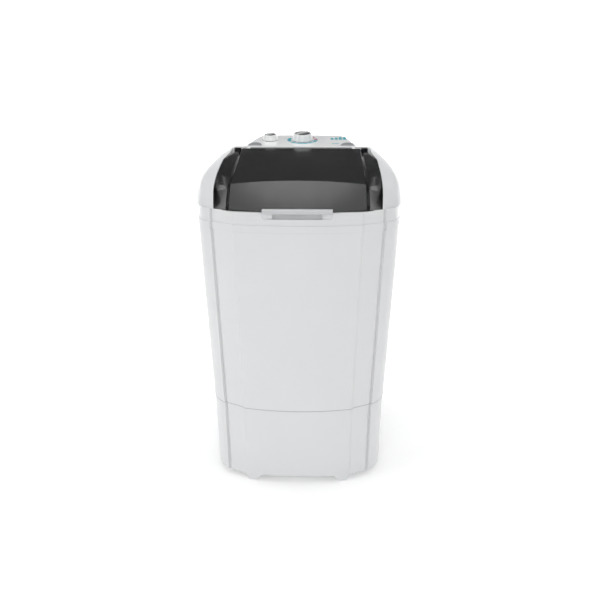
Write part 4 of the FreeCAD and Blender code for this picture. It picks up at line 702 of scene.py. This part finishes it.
@dataclass
class BackHardware:
    """Cross head screws, ribs pressed in the back cover and the gland's hexagon nut, in millimetres."""

    back: float = 286.6
    head_radius: float = 4.0
    head_height: float = 2.1
    head_crown: float = 0.72
    head_gap: float = 0.1
    head_rings: int = 14
    head_steps: int = 48
    slot_half: float = 0.55
    slot_reach: float = 2.3
    slot_depth: float = 1.1
    reach: float = 123.0
    levels: tuple[float, ...] = (307.0, 450.0, 593.0)
    rib_levels: tuple[float, ...] = (350.0, 374.0, 398.0, 502.0, 526.0, 550.0)
    rib_half: float = 88.0
    rib_height: float = 4.0
    rib_proud: float = 1.6
    rib_sunk: float = 0.5
    rib_round: float = 0.9
    rib_end_steps: int = 6
    gland_at: Flat = (-110.0, 150.0)
    nut_face: float = 289.3
    nut_half: float = 12.5
    nut_thick: float = 3.4
    nut_round: float = 0.6

    def facing_back(self, x: float, z: float, y: float) -> Matrix:
        """Find the place whose Z axis points out of the back wall.

        Args:
            x: distance to the right of the middle, in millimetres.
            z: level, in millimetres.
            y: distance behind the middle, in millimetres.

        Returns:
            Matrix from that place, in metres, to the machine.
        """
        return Matrix.Translation((x * MM, y * MM, z * MM)) @ Matrix.Rotation(math.radians(-90), 4, "X")

    def head_surface(self, x: float, y: float) -> float:
        """Find the height of a screw head's domed top, with its cross recess.

        Args:
            x: distance from the screw's axis, in millimetres.
            y: distance from the screw's axis the other way, in millimetres.

        Returns:
            The height in millimetres.
        """
        share = math.hypot(x, y) / self.head_radius
        height = self.head_height * math.sqrt(1.0 - share ** 2 * self.head_crown)
        if min(abs(x), abs(y)) < self.slot_half and max(abs(x), abs(y)) < self.slot_reach:
            height -= self.slot_depth
        return height

    def screw_head(self, bm: bmesh.types.BMesh, place: Matrix) -> None:
        """Add a domed head as rings of vertices that dip into the cross, with an outer wall.

        Args:
            bm: the mesh that gets the head.
            place: where the head sits.
        """
        turns = [2 * math.pi * j / self.head_steps for j in range(self.head_steps)]
        rows = []
        for i in range(self.head_rings + 1):
            radius = self.head_radius * i / self.head_rings
            plan = [(radius * math.cos(turn), radius * math.sin(turn)) for turn in turns]
            rows.append([bm.verts.new(place @ Vector((x * MM, y * MM, self.head_surface(x, y) * MM)))
                         for x, y in plan])
        rows.append([bm.verts.new(place @ Vector((x * MM, y * MM, 0.0))) for x, y in plan])
        for inner, outer in zip(rows, rows[1:]):
            for j in range(self.head_steps):
                k = (j + 1) % self.head_steps
                bm.faces.new((inner[j], outer[j], outer[k], inner[k]))
        bmesh.ops.remove_doubles(bm, verts=bm.verts, dist=WELD)

    def build_heads(self, finishes: Finishes) -> None:
        """Build the cover's screw heads.

        Args:
            finishes: the shared finishes.
        """
        bm = bmesh.new()
        for level in self.levels:
            for side in (-1, 1):
                self.screw_head(bm, self.facing_back(side * self.reach, level, self.back + self.head_gap))
        heads = mesh_object("cover_screw_heads", bm)
        heads.data.materials.append(finishes.zinc)
        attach(heads, "machine")
        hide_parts("cover_screws")
        LOG.info("cover_screw_heads built")

    def build_ribs(self, finishes: Finishes) -> None:
        """Build the ribs pressed in the cover.

        Args:
            finishes: the shared finishes.
        """
        steps = self.rib_end_steps
        ends = ((1, range(-steps, steps + 1)), (-1, range(steps, -steps - 1, -1)))
        outline = [(side * (self.rib_half + self.rib_height * math.cos(turn)) * MM,
                    self.rib_height * math.sin(turn) * MM)
                   for side, marks in ends for turn in (math.pi / 2 * mark / steps for mark in marks)]
        bm = bmesh.new()
        for level in self.rib_levels:
            slab(bm, outline, -self.rib_sunk * MM, self.rib_proud * MM,
                 self.facing_back(0.0, level, self.back))
        ribs = mesh_object("cover_ribs", bm, smooth=False)
        soften(ribs, self.rib_round * MM, 3)
        ribs.data.materials.append(finishes.grey)
        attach(ribs, "machine")
        LOG.info("cover_ribs built")

    def build_nut(self, finishes: Finishes) -> None:
        """Build the gland's hexagon nut.

        Args:
            finishes: the shared finishes.
        """
        bm = bmesh.new()
        corner = self.nut_half / math.cos(math.pi / 6) * MM
        turns = [math.pi * i / 3 for i in range(6)]
        hexagon = [(corner * math.cos(turn), corner * math.sin(turn)) for turn in turns]
        slab(bm, hexagon, -self.nut_thick * MM, 0.0, self.facing_back(*self.gland_at, self.nut_face))
        nut = mesh_object("gland_nut", bm, smooth=False)
        soften(nut, self.nut_round * MM)
        nut.data.materials.append(finishes.rubber)
        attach(nut, "machine")
        LOG.info("gland_nut built")

    def build(self, finishes: Finishes) -> None:
        """Build everything seen from behind.

        Args:
            finishes: the shared finishes.
        """
        self.build_heads(finishes)
        self.build_ribs(finishes)
        self.build_nut(finishes)


@dataclass
class MotorFins:
    """Cooling fins cast round the motor's stack, in millimetres."""

    middle: Flat = (0.0, 150.0)
    inner: float = 64.0
    outer: float = 69.0
    first: float = 103.0
    pitch: float = 6.5
    count: int = 11
    thick: float = 2.2
    chamfer: float = 0.4
    steps: int = 72

    def build(self, finishes: Finishes) -> None:
        """Build the fins.

        Args:
            finishes: the shared finishes.
        """
        bm = bmesh.new()
        place = Matrix.Translation((self.middle[0] * MM, self.middle[1] * MM, 0))
        for i in range(self.count):
            low = self.first + self.pitch * i
            profile = ring_profile(self.inner, self.outer, low, self.thick, self.chamfer)
            lathe(bm, profile, self.steps, place)
        fins = mesh_object("motor_fins", bm, smooth=False)
        fins.data.materials.append(finishes.cast)
        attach(fins, "machine")
        LOG.info("motor_fins built")


@dataclass
class FootRibs:
    """Ribs moulded round each rubber foot, in millimetres."""

    across: float = 142.5
    along: Flat = (-218.0, 262.0)
    levels: tuple[float, ...] = (1.2, 3.6, 6.0)
    inner: float = 9.5
    outer: float = 11.9
    thick: float = 1.2
    chamfer: float = 0.2
    steps: int = 48

    def build(self, finishes: Finishes) -> None:
        """Build the ribs of all four feet.

        Args:
            finishes: the shared finishes.
        """
        bm = bmesh.new()
        for x in (-self.across, self.across):
            for y in self.along:
                place = Matrix.Translation((x * MM, y * MM, 0))
                for low in self.levels:
                    profile = ring_profile(self.inner, self.outer, low, self.thick, self.chamfer)
                    lathe(bm, profile, self.steps, place)
        ribs = mesh_object("foot_ribs", bm, smooth=False)
        ribs.data.materials.append(finishes.rubber)
        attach(ribs, "machine")
        LOG.info("foot_ribs built")


@dataclass
class Joint:
    """Painted shadow: a grey strip standing in for the thin shadow line in the joint between two shells,
    laid along a shell's own rim.
    """

    name: str
    node: str
    level: float
    half_height: float = 0.8
    proud: float = 0.25
    sunk: float = 2.0
    band: float = 0.3
    wall_slope: float = 0.5
    weld: float = 1e-6

    def on_rim(self, edge: bmesh.types.BMEdge) -> bool:
        """Tell whether an edge runs round the outside of the shell's rim.

        Args:
            edge: an edge of the shell.

        Returns:
            True where an outward wall meets the flat of the rim.
        """
        if any(abs(vert.co.z - self.level * MM) > self.band * MM for vert in edge.verts):
            return False
        walls = [face for face in edge.link_faces if abs(face.normal.z) < self.wall_slope]
        middle = (edge.verts[0].co.xy + edge.verts[1].co.xy) / 2
        return len(walls) == 1 and walls[0].normal.xy.dot(middle) > 0

    def section(self, bm: bmesh.types.BMesh, flat: Vector) -> list[bmesh.types.BMVert]:
        """Add the cross section of the painted shadow strip at one place on the rim.

        Args:
            bm: the mesh that gets the corners.
            flat: the place seen from above, in metres.

        Returns:
            The four corners in order.
        """
        outer = flat + flat.normalized() * self.proud * MM
        inner = flat - flat.normalized() * self.sunk * MM
        low, high = (self.level - self.half_height) * MM, (self.level + self.half_height) * MM
        corners = ((outer, low), (outer, high), (inner, high), (inner, low))
        return [bm.verts.new((*spot, height)) for spot, height in corners]

    def build(self, frame: dict, finishes: Finishes) -> None:
        """Lay the strip of painted shadow.

        Args:
            finishes: the shared finishes.
        """
        shell = bmesh.new()
        shell.from_mesh(frame["nodes"][self.node].data)
        bmesh.ops.remove_doubles(shell, verts=shell.verts, dist=self.weld)
        rim = [edge for edge in shell.edges if self.on_rim(edge)]
        bm = bmesh.new()
        for edge in rim:
            first, last = (self.section(bm, vert.co.xy) for vert in edge.verts)
            for j in range(4):
                k = (j + 1) % 4
                bm.faces.new((first[j], last[j], last[k], first[k]))
        LOG.info("%s laid along %d edges", self.name, len(rim))
        shell.free()
        bmesh.ops.remove_doubles(bm, verts=bm.verts, dist=self.weld)
        # grey strip painted as the shadow line in the joint
        obj = mesh_object(self.name, bm)
        obj.data.materials.append(finishes.joint)
        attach(obj, "machine")


# ------------------------------------------------------------------ studio
@dataclass(frozen=True)
class Softbox:
    """One rectangular lamp, aimed at a point."""

    name: str
    at: Point
    aim: Point
    size: Flat
    watts: float

    def build(self) -> None:
        """Hang the lamp."""
        data = bpy.data.lights.new(self.name, "AREA")
        data.shape = "RECTANGLE"
        data.size, data.size_y = self.size
        data.energy = self.watts
        obj = bpy.data.objects.new(self.name, data)
        obj.location = self.at
        obj.rotation_euler = (Vector(self.aim) - Vector(self.at)).to_track_quat("-Z", "Y").to_euler()
        bpy.context.scene.collection.objects.link(obj)
        LOG.info("%s hung", self.name)


@dataclass
class Studio:
    """Pale floor and backdrop, soft lights and the camera, in metres and degrees."""

    softboxes: ClassVar[tuple[Softbox, ...]] = (
        Softbox("softbox_top", (0.0, 0.22, 2.7), (0, 0.22, 0.9), (4.6, 1.1), 39.0),
        Softbox("softbox_top_front", (0.0, -0.68, 2.7), (0, -0.68, 0.9), (4.6, 0.7), 9.0),
        Softbox("softbox_front", (0.0, -3.4, 1.9), (0, 0, 0.5), (3.4, 1.6), 46.0),
        Softbox("softbox_left", (-2.6, -1.3, 1.7), (0, 0, 0.7), (1.4, 2.2), 26.0),
        Softbox("softbox_right", (2.6, -1.3, 1.7), (0, 0, 0.7), (1.4, 2.2), 18.0),
        Softbox("backdrop_wash", (0.0, 1.4, 2.6), (0, 3.2, 0.4), (4.5, 0.8), 22.0),
    )

    distance: float = 2.2374
    elevation: float = 19.0
    azimuth: float = 1.46
    lens_mm: float = 40.85
    sensor_mm: float = 36.0
    shift_up: float = 0.0036
    target: Point = (0.0, 0.0, 0.5)
    half_width: float = 6.0
    behind: float = 3.2
    backdrop_height: float = 1.8
    fibre_mm: float = 333.33
    paper_roughness: float = 0.9
    paper_sheen: float = 0.1
    floor_glow: float = 0.16
    backdrop_glow: float = 0.95
    air_colour: str = "#c8c9cb"
    air_strength: float = 0.22

    def stage_material(self, name: str, glow: float) -> bpy.types.Material:
        """Matt white paper that glows from behind.

        Args:
            name: material name.
            glow: how strongly the paper shines.

        Returns:
            The material.
        """
        mat, shader, where = start_material(name)
        tree = mat.node_tree
        fibre = add_node(tree, "ShaderNodeTexNoise", inputs={
            "Vector": where, "Scale": per_metre(self.fibre_mm), "Detail": 2.0})
        tone = add_node(tree, "ShaderNodeMix", {"data_type": "RGBA"},
                        {"Factor": fibre.outputs["Fac"], "A": srgb("#fbfbfb"), "B": srgb("#fdfdfd")})
        tree.links.new(tone.outputs["Result"], shader.inputs["Base Color"])
        shader.inputs["Roughness"].default_value = self.paper_roughness
        shader.inputs["Specular IOR Level"].default_value = self.paper_sheen
        # lit from behind, so it fills the shadows without a lamp of its own
        shader.inputs["Emission Color"].default_value = srgb("#ffffff")
        shader.inputs["Emission Strength"].default_value = glow
        return mat

    def sheet(self, name: str, corners: Sequence[Point], material: bpy.types.Material) -> None:
        """Add one flat stage sheet.

        Args:
            name: object name.
            corners: its corners in order, in metres.
            material: the paper.
        """
        bm = bmesh.new()
        bm.faces.new([bm.verts.new(corner) for corner in corners])
        obj = mesh_object(name, bm, smooth=False)
        obj.data.materials.append(material)

    def build_stage(self) -> None:
        """Lay the floor and stand the backdrop behind it."""
        wide, behind, high = self.half_width, self.behind, self.backdrop_height
        self.sheet("floor", ((-wide, -wide, 0), (wide, -wide, 0), (wide, behind, 0), (-wide, behind, 0)),
                   self.stage_material("paper_white_floor", self.floor_glow))
        self.sheet("backdrop", ((-wide, behind, 0), (wide, behind, 0), (wide, behind, high),
                                (-wide, behind, high)),
                   self.stage_material("paper_white_backdrop", self.backdrop_glow))

    def build_air(self) -> None:
        """Fill the room with even pale light and show tones as they are."""
        scene = bpy.context.scene
        world = bpy.data.worlds.new("studio")
        world.use_nodes = True
        background = world.node_tree.nodes["Background"]
        background.inputs["Color"].default_value = srgb(self.air_colour)
        background.inputs["Strength"].default_value = self.air_strength
        scene.world = world
        scene.view_settings.view_transform = "Standard"
        scene.view_settings.look = "None"

    def build_camera(self) -> None:
        """Stand the camera in front, a little above and to the right."""
        up, turn = math.radians(self.elevation), math.radians(self.azimuth)
        away = Vector((math.sin(turn) * math.cos(up), -math.cos(turn) * math.cos(up), math.sin(up)))
        data = bpy.data.cameras.new("camera")
        data.lens = self.lens_mm
        data.sensor_width = self.sensor_mm
        data.shift_y = self.shift_up
        camera = bpy.data.objects.new("camera", data)
        camera.location = Vector(self.target) + away * self.distance
        camera.rotation_euler = (-away).to_track_quat("-Z", "Y").to_euler()
        bpy.context.scene.collection.objects.link(camera)
        bpy.context.scene.camera = camera

    def build(self) -> None:
        """Make the floor, backdrop, lights, world and camera."""
        self.build_stage()
        for softbox in self.softboxes:
            softbox.build()
        self.build_air()
        self.build_camera()
        LOG.info("studio ready")


def main() -> None:
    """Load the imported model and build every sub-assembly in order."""
    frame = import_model()
    finishes = Finishes()
    Studio().build()
    console = Console()
    for share in (Shells(), Drive(), Lid(), console):
        share.dress(frame, finishes)
    console.build(finishes)
    BackHardware().build(finishes)
    MotorFins().build(finishes)
    FootRibs().build(finishes)
    # painted shadow lines in the joints between the shells
    Joint("joint_base", "cabinet_shell", 251.0).build(frame, finishes)
    Joint("joint_collar", "cabinet_shell", 799.9, half_height=0.5).build(frame, finishes)


if __name__ == "__main__":
    main()
